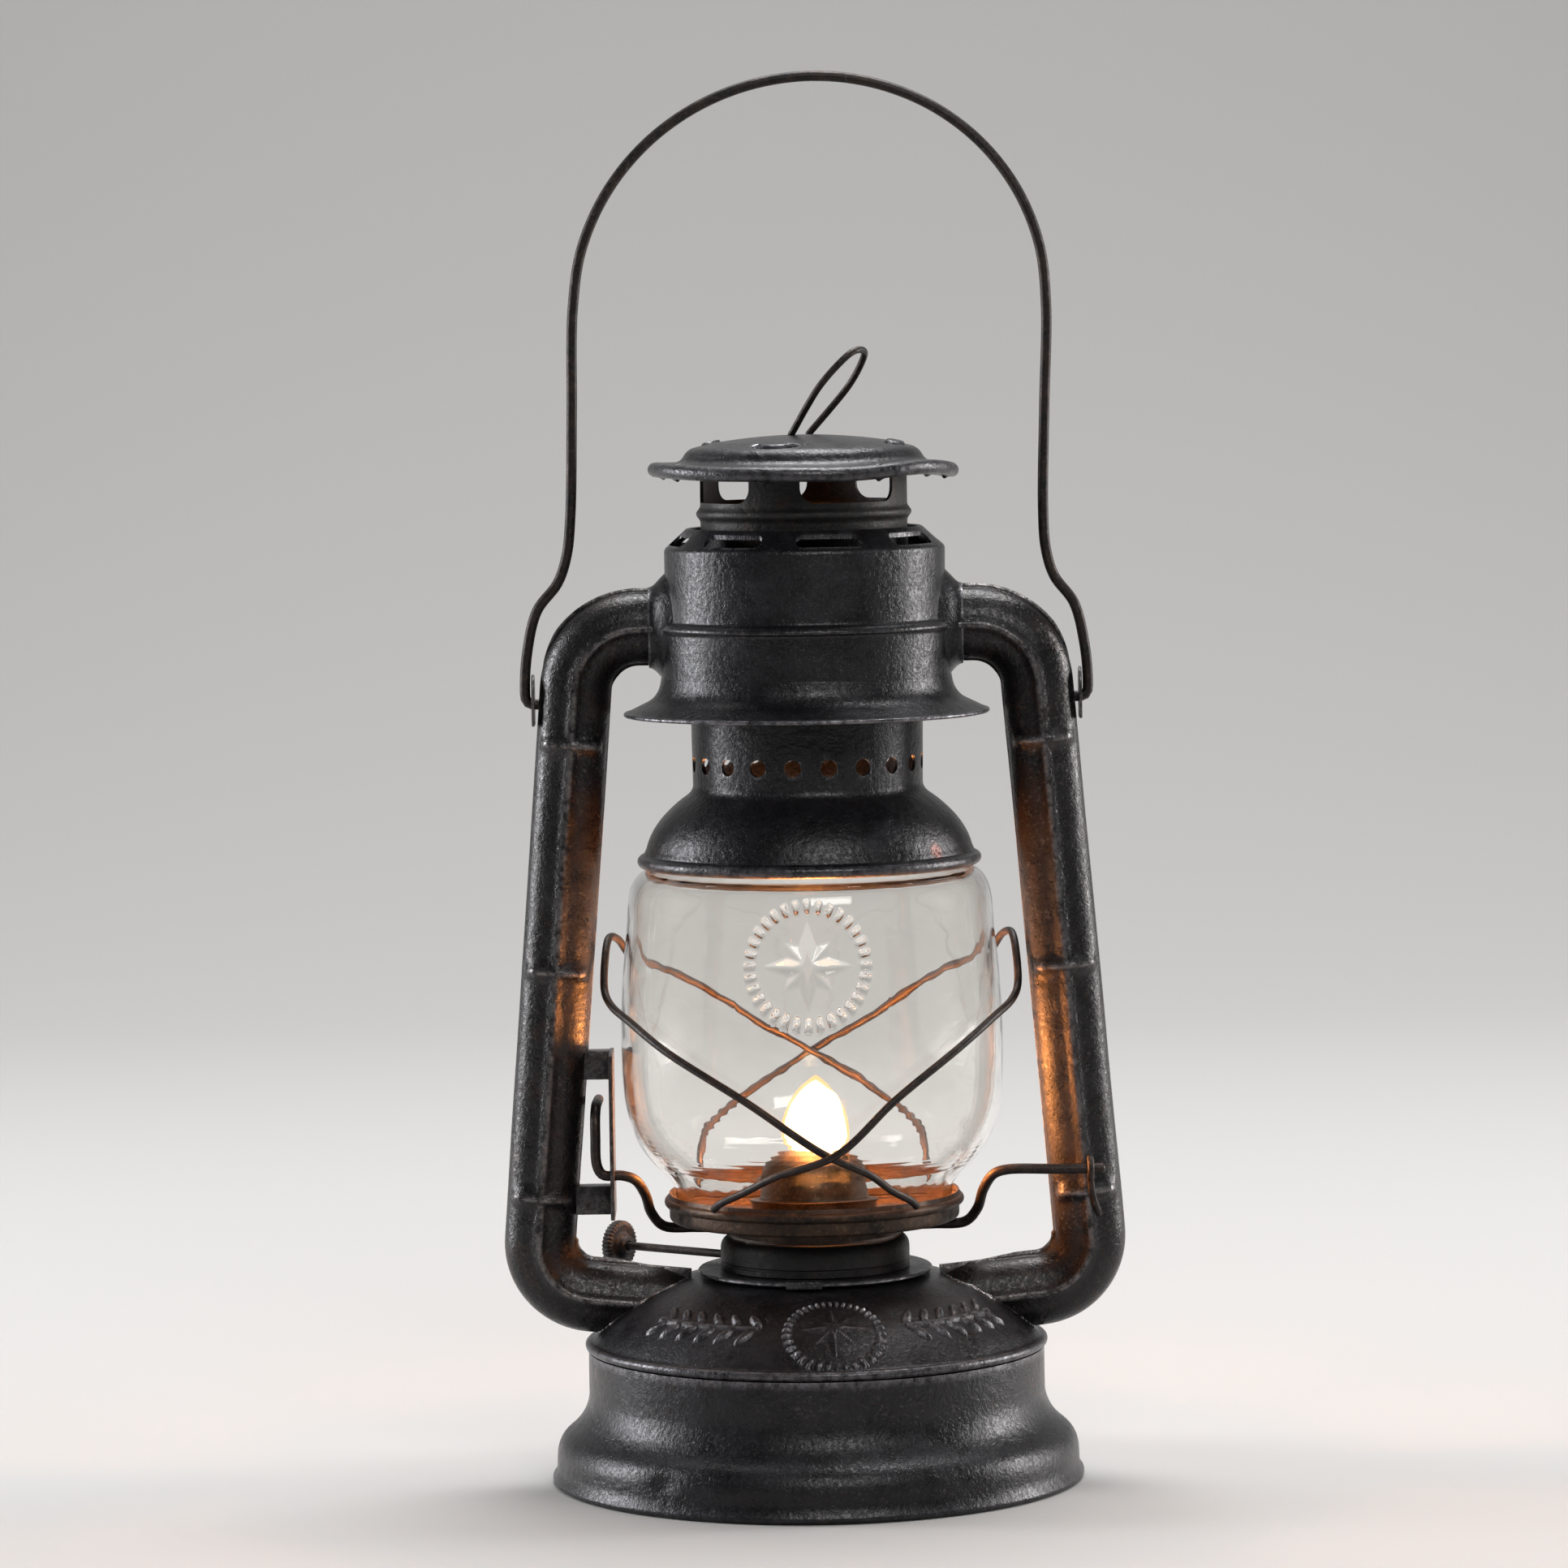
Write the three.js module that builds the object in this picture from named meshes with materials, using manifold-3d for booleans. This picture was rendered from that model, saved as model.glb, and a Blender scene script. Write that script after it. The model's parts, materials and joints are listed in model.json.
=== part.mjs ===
// A barn lantern: oil fount on a flared foot, flat-wick burner, glass globe on a lifting plate,
// two pressed side tubes that carry a top air chamber, a sprung chimney and a swinging bail.
// Millimetres, +Z up, front towards -Y, origin at the middle of the foot's underside.
import * as THREE from "three";
import { mergeVertices } from "three/addons/utils/BufferGeometryUtils.js";
import Module from "manifold-3d";

const wasm = await Module();
wasm.setup();

// ---------------------------------------------------------------- driving dimensions
const FACETS = 24; // round every turned part
const GAP = 0.3; // between pieces that touch
const SHEET = 0.8; // pressed steel sheet

const FOOT = { radius: 65, rollRadius: 1.2, inset: 1.2, shoulder: 8, hem: 61 };
const TANK = { radius: 55.5, wall: 1, coveTop: 19, seam: 33.6, seamRadius: 1.1 };
const DOME = { outer: 54.6, outerZ: 34.6, midRadius: 40, midZ: 46.4, innerRadius: 24, innerZ: 50.3 };
const BOTTOM = { z: 8.4, thickness: 1, radius: 61.3, dish: 1.2 };
const COLLAR = { outer: 28.5, inner: 19, bottom: 50.7, top: 51.7 };
const FILLER = { reach: 42, height: 45.4, tilt: 31, bore: 8.3, neck: 9.5, cap: 12.2 };

const BURNER = { turn: -35, radius: 23, bottom: 52, top: 59.9, throat: 15, throatTop: 69.8 };
const CONE = { radius: 13, brim: 15.6, bottom: 71, top: 83, slotLength: 19, slotWidth: 5 };
const WICK = { width: 15.5, thickness: 2.2, bottom: 16, top: 78.5 };
const WICK_TUBE = { width: 19, depth: 5.4, bottom: 44, top: 76.5 };
const SHAFT = { z: 53.5, radius: 1, knobReach: 57.7, innerEnd: 8, knobRadius: 6.1 };
const WHEEL = { radius: 3, root: 2.2, teeth: 8, width: 1.2, places: [4, -4] };
// The shaft runs beside the wick, with the points of its wheels just clear of the cotton.
const SHAFT_OFFSET = -(WICK.thickness / 2 + WHEEL.radius + GAP);

const PLATE = { collar: 21.5, collarBottom: 60.4, disc: 63.6, rim: 35.2, bead: 36.4, top: 70.4 };
const GLOBE = { wall: 2.2, bottom: 65.2 };
const GUARD = { radius: 0.95, hold: 1.6, crossing: 4.2 };

const TUBE = { halfWidth: 8.75, halfDepth: 7.5, mouth: 32.6, mouthZ: 207.9 };
const ELBOW = { x: 54.7, radius: 15.4 };
const KNEE = { x: 68, z: 46.5, radius: 13.5, endX: 31, endZ: 42.8 };

const CHAMBER = { lower: 35.1, upper: 33.9, bottom: 191.9, step: 207.6, shoulder: 226.8 };
const CHAMBER_TOP = { radius: 28, z: 232, slots: 8, slotTurn: 11, slotSweep: 31 };
const SKIRT = { inner: 28.5, root: 35.4, rootZ: 191, tip: 44.3, tipZ: 187.1 };
const GUIDE = { inner: 25.6, outer: 32.7, z: 224.4 };

const BELL = { neck: 27.9, neckTop: 196, coveZ: 169.6, rim: 39.8, beadRadius: 1.5, beadZ: 151.3 };
const BELL_HOLES = { count: 20, z: 175, radius: 2.1, turn: -7.7 };
const CROWN = { radius: 25, bottom: 188, bead: 26, beadZ: 235.2, top: 246.6 };
const WINDOWS = { count: 4, bottom: 238, top: 244.6, sweep: 62, turn: 28 };
const CAP = { rim: 37.6, rollRadius: 2, rollZ: 245.1, brim: 28.8, brimZ: 248, crown: 25.2, top: 254 };
const SPRING = { radius: 27.3, wire: 0.6, bottom: 197, top: 223.6, turns: 4.5 };
const RING = { wire: 0.85, span: 9, length: 24, lean: 36, axisTurn: 60, z: 254.9 };

const BAIL = { wire: 1.3, pivotZ: 189.8, arm: 57, ear: 68.1, straightTop: 285, top: 340, lean: 0.028 };
const EAR = { face: 65.8, thickness: 0.7, halfDepth: 4, bore: 1.7, bottom: 184.6, top: 197 };
const CRANK = { wire: 1.25, pivotY: -10.4, pivotZ: 76, drop: 14.6, bow: 24.3, bowY: 2 };
const CRANK_END = { right: 69.6, left: -52.4, leverTop: 92, thumbY: 11 };
const BRACKET = { face: 48.2, thickness: 1, front: -14, back: 4, bottom: 65.5, top: 105.5 };
const LUG = { front: -3, back: 2, height: 7, upperReach: 55.2, lowerReach: 57.4 };
const EYE = { x: 66.8, width: 2.4, bore: 1.7, outer: 3.2 };

const FINISH = {
  steel: { color: 0x202024, roughness: 0.42, metalness: 0.85 },
  wornSteel: { color: 0x2c2a2c, roughness: 0.5, metalness: 0.85 },
  wire: { color: 0x2e2926, roughness: 0.48, metalness: 0.8 },
  soot: { color: 0x33241b, roughness: 0.72, metalness: 0.4 },
  brass: { color: 0x6b5530, roughness: 0.5, metalness: 0.8 },
  glass: { color: 0xdfe6e2, roughness: 0.05, metalness: 0, transparent: true, opacity: 0.35 },
  cotton: { color: 0xcdbd9a, roughness: 0.95, metalness: 0 },
  cork: { color: 0x8c6a45, roughness: 0.9, metalness: 0 },
};

// ---------------------------------------------------------------- helpers
const radians = THREE.MathUtils.degToRad;
const v2 = (r, z) => new THREE.Vector2(r, z);
const v3 = (x, y, z) => new THREE.Vector3(x, y, z);

function piece(name, geometry, finish) {
  const mesh = new THREE.Mesh(geometry, new THREE.MeshStandardMaterial(FINISH[finish]));
  mesh.name = name;
  return mesh;
}

function mirrored(name, geometry, finish) {
  const mesh = piece(name, geometry, finish);
  mesh.scale.x = -1;
  return mesh;
}

// An outline drawn as [r, z] stops. A stop with four numbers is the end of a curve: control, end.
function outline(stops, divisions = 3) {
  const path = new THREE.Path();
  path.moveTo(...stops[0]);
  for (const stop of stops.slice(1)) {
    if (stop.length === 4) path.quadraticCurveTo(...stop);
    else path.lineTo(...stop);
  }
  return path.getPoints(divisions);
}

// Round bead between two directions, as seen from its centre.
function bead(centre, radius, from, to, steps = 4) {
  return Array.from({ length: steps + 1 }, (_, i) => {
    const angle = radians(from + ((to - from) * i) / steps);
    return v2(centre[0] + radius * Math.cos(angle), centre[1] + radius * Math.sin(angle));
  });
}

// The outline, and back along its left side at the thickness of the sheet.
function sheetLoop(points, thickness) {
  const inner = points.map((point, i) => {
    const before = points[Math.max(i - 1, 0)];
    const after = points[Math.min(i + 1, points.length - 1)];
    const ahead = after.clone().sub(point).normalize();
    const into = i > 0 ? point.clone().sub(before).normalize() : ahead;
    const out = i < points.length - 1 ? ahead : into;
    const bisector = into.clone().add(out).normalize();
    const mitre = thickness / Math.max(bisector.dot(into), 0.5);
    return v2(Math.max(point.x - bisector.y * mitre, 0), point.y + bisector.x * mitre);
  });
  return [...points, ...inner.reverse()];
}

// A solid of revolution about Z; the loop runs up its outer side and down its inner side.
function revolve(loop, facets = FACETS) {
  const open = loop[0].x < 1e-6 && loop[loop.length - 1].x < 1e-6;
  const points = open ? loop : [...loop, loop[0].clone()];
  return new THREE.LatheGeometry(points, facets).rotateX(Math.PI / 2);
}

// A ring of rectangular section.
function ring(inner, outer, bottom, top, facets = FACETS) {
  return revolve([v2(outer, bottom), v2(outer, top), v2(inner, top), v2(inner, bottom)], facets);
}

// A rod with its middle at the origin, along X, Y or Z.
function rod(radius, length, along = "z", facets = 12) {
  const geometry = new THREE.CylinderGeometry(radius, radius, length, facets);
  if (along === "x") return geometry.rotateZ(Math.PI / 2);
  return along === "z" ? geometry.rotateX(Math.PI / 2) : geometry;
}

// Straight runs with round bends: a step for each run and one for every 18 degrees of a bend.
class BentLine extends THREE.Curve {
  constructor(corners) {
    super();
    this.stations = [corners[0].at];
    for (let i = 1; i < corners.length - 1; i += 1) this.addBend(corners, i);
    this.stations.push(corners[corners.length - 1].at);
  }

  addBend(corners, i) {
    const corner = corners[i].at;
    const back = corners[i - 1].at.clone().sub(corner).normalize();
    const ahead = corners[i + 1].at.clone().sub(corner).normalize();
    const turn = Math.PI - back.angleTo(ahead);
    const tangent = corners[i].bend * Math.tan(turn / 2);
    const toCentre = back.clone().add(ahead).normalize();
    const centre = corner.clone().addScaledVector(toCentre, corners[i].bend / Math.cos(turn / 2));
    const first = corner.clone().addScaledVector(back, tangent).sub(centre);
    const axis = back.clone().cross(ahead).normalize().negate();
    const steps = Math.max(2, Math.ceil(turn / radians(18)));
    for (let k = 0; k <= steps; k += 1) {
      this.stations.push(first.clone().applyAxisAngle(axis, (turn * k) / steps).add(centre));
    }
  }

  get steps() {
    return this.stations.length - 1;
  }

  getPoint(t, target = v3(0, 0, 0)) {
    const place = Math.min(t, 1) * this.steps;
    const index = Math.min(Math.floor(place + 1e-9), this.steps - 1);
    return target.lerpVectors(this.stations[index], this.stations[index + 1], place - index);
  }

  getPointAt(t, target) {
    return this.getPoint(t, target);
  }

  getTangentAt(t, target = v3(0, 0, 0)) {
    const index = Math.round(t * this.steps);
    const here = this.stations[index];
    const last = this.stations[Math.min(index + 1, this.steps)].clone().sub(here).normalize();
    const first = here.clone().sub(this.stations[Math.max(index - 1, 0)]).normalize();
    return target.addVectors(first, last).normalize();
  }
}

// A flat shape given a thickness along Z.
function thick(shape, depth, curveSegments = 3) {
  return new THREE.ExtrudeGeometry(shape, { depth, bevelEnabled: false, curveSegments });
}

function sweep(section, path, steps) {
  return new THREE.ExtrudeGeometry(section, { extrudePath: path, steps, curveSegments: 3 });
}

// Round wire along a path.
function wire(radius, path, steps = path.steps, sides = 8) {
  const section = new THREE.Shape();
  for (let i = 0; i < sides; i += 1) {
    const angle = (2 * Math.PI * (i + 0.5)) / sides;
    const corner = [radius * Math.cos(angle), radius * Math.sin(angle)];
    if (i === 0) section.moveTo(...corner);
    else section.lineTo(...corner);
  }
  section.closePath();
  return sweep(section, path, steps);
}

function box(x0, x1, y0, y1, z0, z1) {
  const geometry = new THREE.BoxGeometry(x1 - x0, y1 - y0, z1 - z0);
  return geometry.translate((x0 + x1) / 2, (y0 + y1) / 2, (z0 + z1) / 2);
}

function solid(geometry) {
  const bare = geometry.clone();
  bare.deleteAttribute("normal");
  bare.deleteAttribute("uv");
  const merged = mergeVertices(bare, 1e-4);
  const vertProperties = merged.getAttribute("position").array;
  return new wasm.Manifold(new wasm.Mesh({ numProp: 3, vertProperties, triVerts: merged.index.array }));
}

function asGeometry(manifold) {
  const mesh = manifold.getMesh();
  const geometry = new THREE.BufferGeometry();
  geometry.setAttribute("position", new THREE.BufferAttribute(mesh.vertProperties, 3));
  geometry.setIndex(new THREE.BufferAttribute(mesh.triVerts, 1));
  return geometry;
}

function cut(geometry, ...tools) {
  return asGeometry(tools.reduce((body, tool) => body.subtract(solid(tool)), solid(geometry)));
}

function join(geometry, ...others) {
  return asGeometry(others.reduce((body, other) => body.add(solid(other)), solid(geometry)));
}

// A slice of a ring, from an angle measured at the front (-Y) towards +X.
function ringSlice(inner, outer, bottom, top, middle, sweepAngle) {
  const from = radians(middle - sweepAngle / 2 - 90);
  const to = radians(middle + sweepAngle / 2 - 90);
  const shape = new THREE.Shape();
  shape.absarc(0, 0, outer, from, to, false);
  shape.absarc(0, 0, inner, to, from, true);
  shape.closePath();
  return thick(shape, top - bottom).translate(0, 0, bottom);
}

// ---------------------------------------------------------------- fount
// Outer line of the dome: from the seam up to the burner opening.
function domeLine(lift = 0) {
  return outline([
    [DOME.outer, DOME.outerZ + lift],
    [DOME.outer - 6.5, 42.4 + lift, DOME.midRadius, DOME.midZ + lift],
    [33, 49.7 + lift, DOME.innerRadius, DOME.innerZ + lift],
  ]);
}

function fountBody() {
  const roll = bead([FOOT.radius - FOOT.rollRadius, FOOT.rollRadius], FOOT.rollRadius, -90, 20, 3);
  const wall = outline([
    [FOOT.radius - FOOT.inset * 0.9, 3],
    [FOOT.radius - FOOT.inset, FOOT.shoulder],
    [FOOT.radius - 1.8, 12.2, 58.2, 14.8],
    [TANK.radius, 16, TANK.radius, TANK.coveTop],
    [TANK.radius, TANK.seam - TANK.seamRadius - GAP],
  ]);
  return piece("fount_body", revolve(sheetLoop([v2(FOOT.hem, 0), ...roll, ...wall], TANK.wall)), "steel");
}

function fountBottom() {
  const { z, thickness, radius, dish } = BOTTOM;
  const line = outline([[radius, z], [radius - 4, z], [radius - 8, z + dish], [0, z + dish]]);
  const above = line.map((point) => v2(point.x, point.y + thickness));
  return piece("fount_bottom", revolve([...line.reverse(), ...above]), "steel");
}

function fountTop() {
  const seam = bead([TANK.radius - 0.3, TANK.seam], TANK.seamRadius, -80, 100, 5);
  const shell = revolve(sheetLoop([...seam, ...domeLine()], SHEET));
  return piece("fount_top", cut(shell, fillerPlaced(rod(FILLER.neck + GAP, 20, "z", 16))), "steel");
}

function fountCollar() {
  return piece("fount_collar", ring(COLLAR.inner, COLLAR.outer, COLLAR.bottom, COLLAR.top), "wornSteel");
}

// Puts a piece drawn on the filler's own axis onto the back of the dome.
function fillerPlaced(geometry) {
  return geometry.rotateX(radians(-FILLER.tilt)).translate(0, FILLER.reach, FILLER.height);
}

function fillerNeck() {
  return piece("filler_neck", fillerPlaced(ring(FILLER.bore, FILLER.neck, -5, 5.5, 20)), "brass");
}

function fillerGasket() {
  return piece("filler_gasket", fillerPlaced(ring(7.6, FILLER.neck, 5.8, 6.8, 20)), "cork");
}

function fillerCap() {
  const { cap, neck } = FILLER;
  const loop = [v2(0, 7.1), v2(neck + GAP, 7.1), v2(neck + GAP, 1.4), v2(cap - 0.4, 1.4), v2(cap, 2)];
  loop.push(v2(cap, 7.6), v2(cap - 1, 8.6), v2(cap - 3.2, 8.6), v2(cap - 4, 9.4), v2(0, 9.4));
  return piece("filler_cap", fillerPlaced(revolve(loop, 20)), "wornSteel");
}

// ---------------------------------------------------------------- burner
function burnerPlaced(mesh) {
  mesh.rotation.z = radians(BURNER.turn);
  return mesh;
}

function burnerBasket() {
  const { radius, bottom, top, throat } = BURNER;
  const shoulder = [[radius, top - 3.4], [radius, top, radius - 4, top]];
  const line = outline([[radius, bottom], ...shoulder, [throat - 1.5, top]]);
  const shaftHole = rod(SHAFT.radius + 2 * GAP, radius + 10, "x", 10);
  shaftHole.translate(-radius, SHAFT_OFFSET, SHAFT.z).rotateZ(radians(BURNER.turn));
  return piece("burner_basket", cut(revolve(sheetLoop(line, SHEET)), shaftHole), "wornSteel");
}

function burnerThroat() {
  const { throat, throatTop, top } = BURNER;
  return piece("burner_throat", ring(throat - SHEET, throat, top + GAP, throatTop, 24), "brass");
}

function burnerCone() {
  const { radius, brim, bottom, top, slotLength, slotWidth } = CONE;
  const side = [[radius, bottom + 1], [radius, bottom + 5], [radius, top, 3, top]];
  const line = outline([[brim, bottom], ...side, [0, top]]);
  const slot = box(-slotLength / 2, slotLength / 2, -slotWidth / 2, slotWidth / 2, bottom + 4, top + 2);
  return burnerPlaced(piece("burner_cone", cut(revolve(sheetLoop(line, SHEET), 24), slot), "brass"));
}

// Flat loop with round ends, the section of the wick tube.
function flatLoop(width, depth) {
  const shape = new THREE.Shape();
  const reach = (width - depth) / 2;
  shape.absarc(reach, 0, depth / 2, -Math.PI / 2, Math.PI / 2, false);
  shape.absarc(-reach, 0, depth / 2, Math.PI / 2, (3 * Math.PI) / 2, false);
  shape.closePath();
  return shape;
}

function wickTube() {
  const { width, depth, bottom, top } = WICK_TUBE;
  const section = flatLoop(width, depth);
  section.holes.push(flatLoop(width - 2 * SHEET, depth - 2 * SHEET));
  const tube = thick(section, top - bottom).translate(0, 0, bottom);
  const window = box(-6, 6, -depth, 0, SHAFT.z - 3.6, SHAFT.z + 3.6);
  return burnerPlaced(piece("wick_tube", cut(tube, window), "brass"));
}

function wick() {
  const { width, thickness, bottom, top } = WICK;
  const strip = box(-width / 2, width / 2, -thickness / 2, thickness / 2, bottom, top);
  return burnerPlaced(piece("wick", strip, "cotton"));
}

function wickShaft() {
  const { knobReach, innerEnd, radius, z } = SHAFT;
  const shaft = rod(radius, knobReach + innerEnd, "x", 10);
  shaft.translate((innerEnd - knobReach) / 2, SHAFT_OFFSET, z);
  return burnerPlaced(piece("wick_shaft", shaft, "wire"));
}

function wickWheel(name, x) {
  const shape = new THREE.Shape();
  for (let i = 0; i < 2 * WHEEL.teeth; i += 1) {
    const radius = i % 2 ? WHEEL.radius : WHEEL.root;
    const angle = (Math.PI * i) / WHEEL.teeth;
    const corner = [radius * Math.cos(angle), radius * Math.sin(angle)];
    if (i === 0) shape.moveTo(...corner);
    else shape.lineTo(...corner);
  }
  shape.closePath();
  const bore = new THREE.Path();
  bore.absarc(0, 0, SHAFT.radius + GAP, 0, 2 * Math.PI, true);
  shape.holes.push(bore);
  const wheel = thick(shape, WHEEL.width, 5);
  wheel.rotateY(Math.PI / 2).translate(x - WHEEL.width / 2, SHAFT_OFFSET, SHAFT.z);
  return burnerPlaced(piece(name, wheel, "brass"));
}

function wickKnob() {
  const { knobRadius, radius, knobReach, z } = SHAFT;
  const bore = radius + GAP;
  const loop = [v2(bore, 0.3), v2(knobRadius - 0.9, 0.3), v2(knobRadius, 1), v2(knobRadius, 2.4)];
  loop.push(v2(knobRadius - 0.9, 3), v2(3, 2.6), v2(2.4, 4.6), v2(bore, 4.6));
  const knob = revolve(loop, 24).rotateY(Math.PI / 2).translate(-knobReach, SHAFT_OFFSET, z);
  return burnerPlaced(piece("wick_knob", knob, "wornSteel"));
}

// ---------------------------------------------------------------- globe carriage
function globePlate() {
  const { collar, collarBottom, disc, rim, bead: reach, top } = PLATE;
  const beadRadius = reach - rim;
  const step = [[collar, disc - 0.4], [rim - 1.2, disc], [rim, disc, rim, disc + 1.4]];
  const floor = outline([[collar, collarBottom], ...step]);
  const lip = [v2(rim, top - 3.6), ...bead([rim, top - 2.2], beadRadius, -60, 60, 4), v2(rim, top)];
  return piece("globe_plate", revolve(sheetLoop([...floor, ...lip], SHEET)), "soot");
}

// Outside of the glass from its lower lip to its upper lip.
function globeLine() {
  const stops = [
    [33.2, GLOBE.bottom],
    [33.6, 70.6],
    [33.9, 73.2, 37.6, 76.6],
    [45.4, 83.2, 46.1, 97],
    [46.9, 112, 45.2, 129],
    [44.6, 133, 44.3, 140],
    [43.9, 147, 40.2, 148.9],
    [35.2, 151.2, 34, 156],
  ];
  return outline(stops, 2);
}

function globe() {
  return piece("globe", revolve(sheetLoop(globeLine(), GLOBE.wall)), "glass");
}

// Radius of the glass at a height, read off its outline.
function glassRadius(z) {
  const line = globeLine();
  const next = line.findIndex((point) => point.y > z);
  if (next <= 0) return PLATE.bead;
  const [low, high] = [line[next - 1], line[next]];
  return THREE.MathUtils.mapLinear(z, low.y, high.y, low.x, high.x);
}

// One guard wire: up across the front, over an arch at the side, down across the back.
// Each stop is the angle from the front, the height and how far the wire stands off the glass.
function guardWire(name, standOff) {
  const { radius, hold, crossing } = GUARD;
  const far = standOff ? crossing : hold;
  const stops = [
    [39, 69, 0.6],
    [36, 74, 4.4],
    [15, 80.5, 2],
    [-2, 84.8, far],
    [-21, 95.5, hold],
    [-45, 106.4, hold],
    [-62, 113.8, hold],
    [-71, 119, hold],
    [-73, 127, 2],
    [-81, 132.4, 3.2],
    [-93, 133.6, 3.6],
    [-107, 132, 3],
    [-118, 127, 2],
    [-123, 121.5, hold],
    [-140, 115.6, hold],
    [-160, 108, hold],
    [-181, 98.3, far],
    [-200, 89, hold],
    [-221, 77, 4],
    [-225, 69, 0.6],
  ];
  const points = stops.map(([angle, z, off]) => {
    const reach = Math.max(glassRadius(z), PLATE.bead) + radius + off;
    return v3(reach * Math.sin(radians(angle)), -reach * Math.cos(radians(angle)), z);
  });
  const path = new THREE.CatmullRomCurve3(points, false, "centripetal");
  return { name, geometry: wire(radius, path, 50, 6) };
}

function guardWires() {
  const left = guardWire("guard_wire_left", false);
  const right = guardWire("guard_wire_right", true);
  return [piece(left.name, left.geometry, "wire"), mirrored(right.name, right.geometry, "wire")];
}

// ---------------------------------------------------------------- side tubes
function tubePath() {
  return new BentLine([
    { at: v3(TUBE.mouth, 0, TUBE.mouthZ) },
    { at: v3(ELBOW.x, 0, TUBE.mouthZ), bend: ELBOW.radius },
    { at: v3(KNEE.x, 0, KNEE.z), bend: KNEE.radius },
    { at: v3(KNEE.endX, 0, KNEE.endZ) },
  ]);
}

// Half of the tube's oval wall, the seam edges a little back from the middle plane.
function halfSection(front) {
  const { halfWidth, halfDepth } = TUBE;
  const side = front ? -1 : 1;
  const shape = new THREE.Shape();
  const points = [];
  for (let i = 0; i <= 6; i += 1) {
    const angle = radians(-90 + 30 * i);
    points.push([halfWidth * Math.sin(angle), halfDepth * Math.cos(angle)]);
  }
  for (let i = 6; i >= 0; i -= 1) {
    const angle = radians(-90 + 30 * i);
    points.push([(halfWidth - SHEET) * Math.sin(angle), (halfDepth - SHEET) * Math.cos(angle)]);
  }
  points.forEach(([x, y], i) => {
    const corner = [x, side * (y + GAP / 2)];
    if (i === 0) shape.moveTo(...corner);
    else shape.lineTo(...corner);
  });
  shape.closePath();
  return shape;
}

// The room that a tube's foot leaves for the fount.
function fountRoom() {
  const side = DOME.outer + 1.6;
  const below = [v2(0, 20), v2(side, 20), v2(side, 35)];
  return revolve([...below, ...domeLine(GAP), v2(0, DOME.innerZ + GAP)]);
}

// One half shell, cut back round the fount and open where the bail's pivot enters its outer seam.
function tubeShell(front) {
  const path = tubePath();
  const shell = sweep(halfSection(front), path, path.steps);
  const pivot = rod(BAIL.wire + 0.4, 16, "x").translate(EAR.face, 0, BAIL.pivotZ);
  return cut(shell, fountRoom(), pivot);
}

// The tube's full oval with a gap all round, as the room that its fittings leave for it.
function tubeRoom() {
  const points = Array.from({ length: 12 }, (_, i) => {
    const angle = radians(30 * i);
    const width = TUBE.halfWidth + GAP;
    const depth = TUBE.halfDepth + 1.5 * GAP;
    return v2(width * Math.cos(angle), depth * Math.sin(angle));
  });
  const path = tubePath();
  return sweep(new THREE.Shape(points), path, path.steps);
}

function sideTubes() {
  const front = tubeShell(true);
  const rear = tubeShell(false);
  return [
    piece("right_tube_front", front, "steel"),
    piece("right_tube_rear", rear, "steel"),
    mirrored("left_tube_front", front, "steel"),
    mirrored("left_tube_rear", rear, "steel"),
  ];
}

// ---------------------------------------------------------------- air chamber
function airChamber() {
  const { lower, upper, bottom, step, shoulder } = CHAMBER;
  const { radius, z, slots, slotTurn, slotSweep } = CHAMBER_TOP;
  const wall = [v2(lower, bottom), v2(lower, step - 1), v2(lower + 0.7, step), v2(upper, step + 1.6)];
  const top = [v2(upper, shoulder), v2(radius, z), v2(radius - 0.5, z - 0.6)];
  const shell = revolve(sheetLoop([...wall, ...top], SHEET));
  const tools = [rod(TUBE.halfWidth + 0.5, 100, "x", 20).translate(0, 0, TUBE.mouthZ)];
  for (let i = 0; i < slots; i += 1) {
    tools.push(ringSlice(29.6, 32.3, shoulder - 3, z + 1, slotTurn + (360 / slots) * i, slotSweep));
  }
  return piece("air_chamber", cut(shell, ...tools), "steel");
}

function chamberSkirt() {
  const { inner, root, rootZ, tip, tipZ } = SKIRT;
  const line = [v2(tip, tipZ), v2(root, rootZ), v2(inner, rootZ)];
  return piece("chamber_skirt", revolve(sheetLoop(line, SHEET)), "steel");
}

function chimneyGuide() {
  return piece("chimney_guide", ring(GUIDE.inner, GUIDE.outer, GUIDE.z, GUIDE.z + 1), "steel");
}

// ---------------------------------------------------------------- chimney
function chimneyBell() {
  const { neck, neckTop, coveZ, rim, beadRadius, beadZ } = BELL;
  const roll = bead([rim + 0.5, beadZ], beadRadius, -110, 70, 5);
  const flank = outline([
    [rim, beadZ + 2.2],
    [rim - 1.2, 161.5, neck + 1.3, coveZ - 2.3],
    [neck, coveZ - 1.4, neck, coveZ],
    [neck, neckTop],
    [CROWN.radius + GAP + 0.2, neckTop],
  ]);
  const shell = revolve(sheetLoop([...roll, ...flank], SHEET));
  const holes = [];
  for (let i = 0; i < BELL_HOLES.count; i += 1) {
    const hole = rod(BELL_HOLES.radius, 6, "y", 6).translate(0, -neck, BELL_HOLES.z);
    holes.push(hole.rotateZ(radians(BELL_HOLES.turn + (360 / BELL_HOLES.count) * i)));
  }
  return piece("chimney_bell", cut(shell, ...holes), "steel");
}

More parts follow.
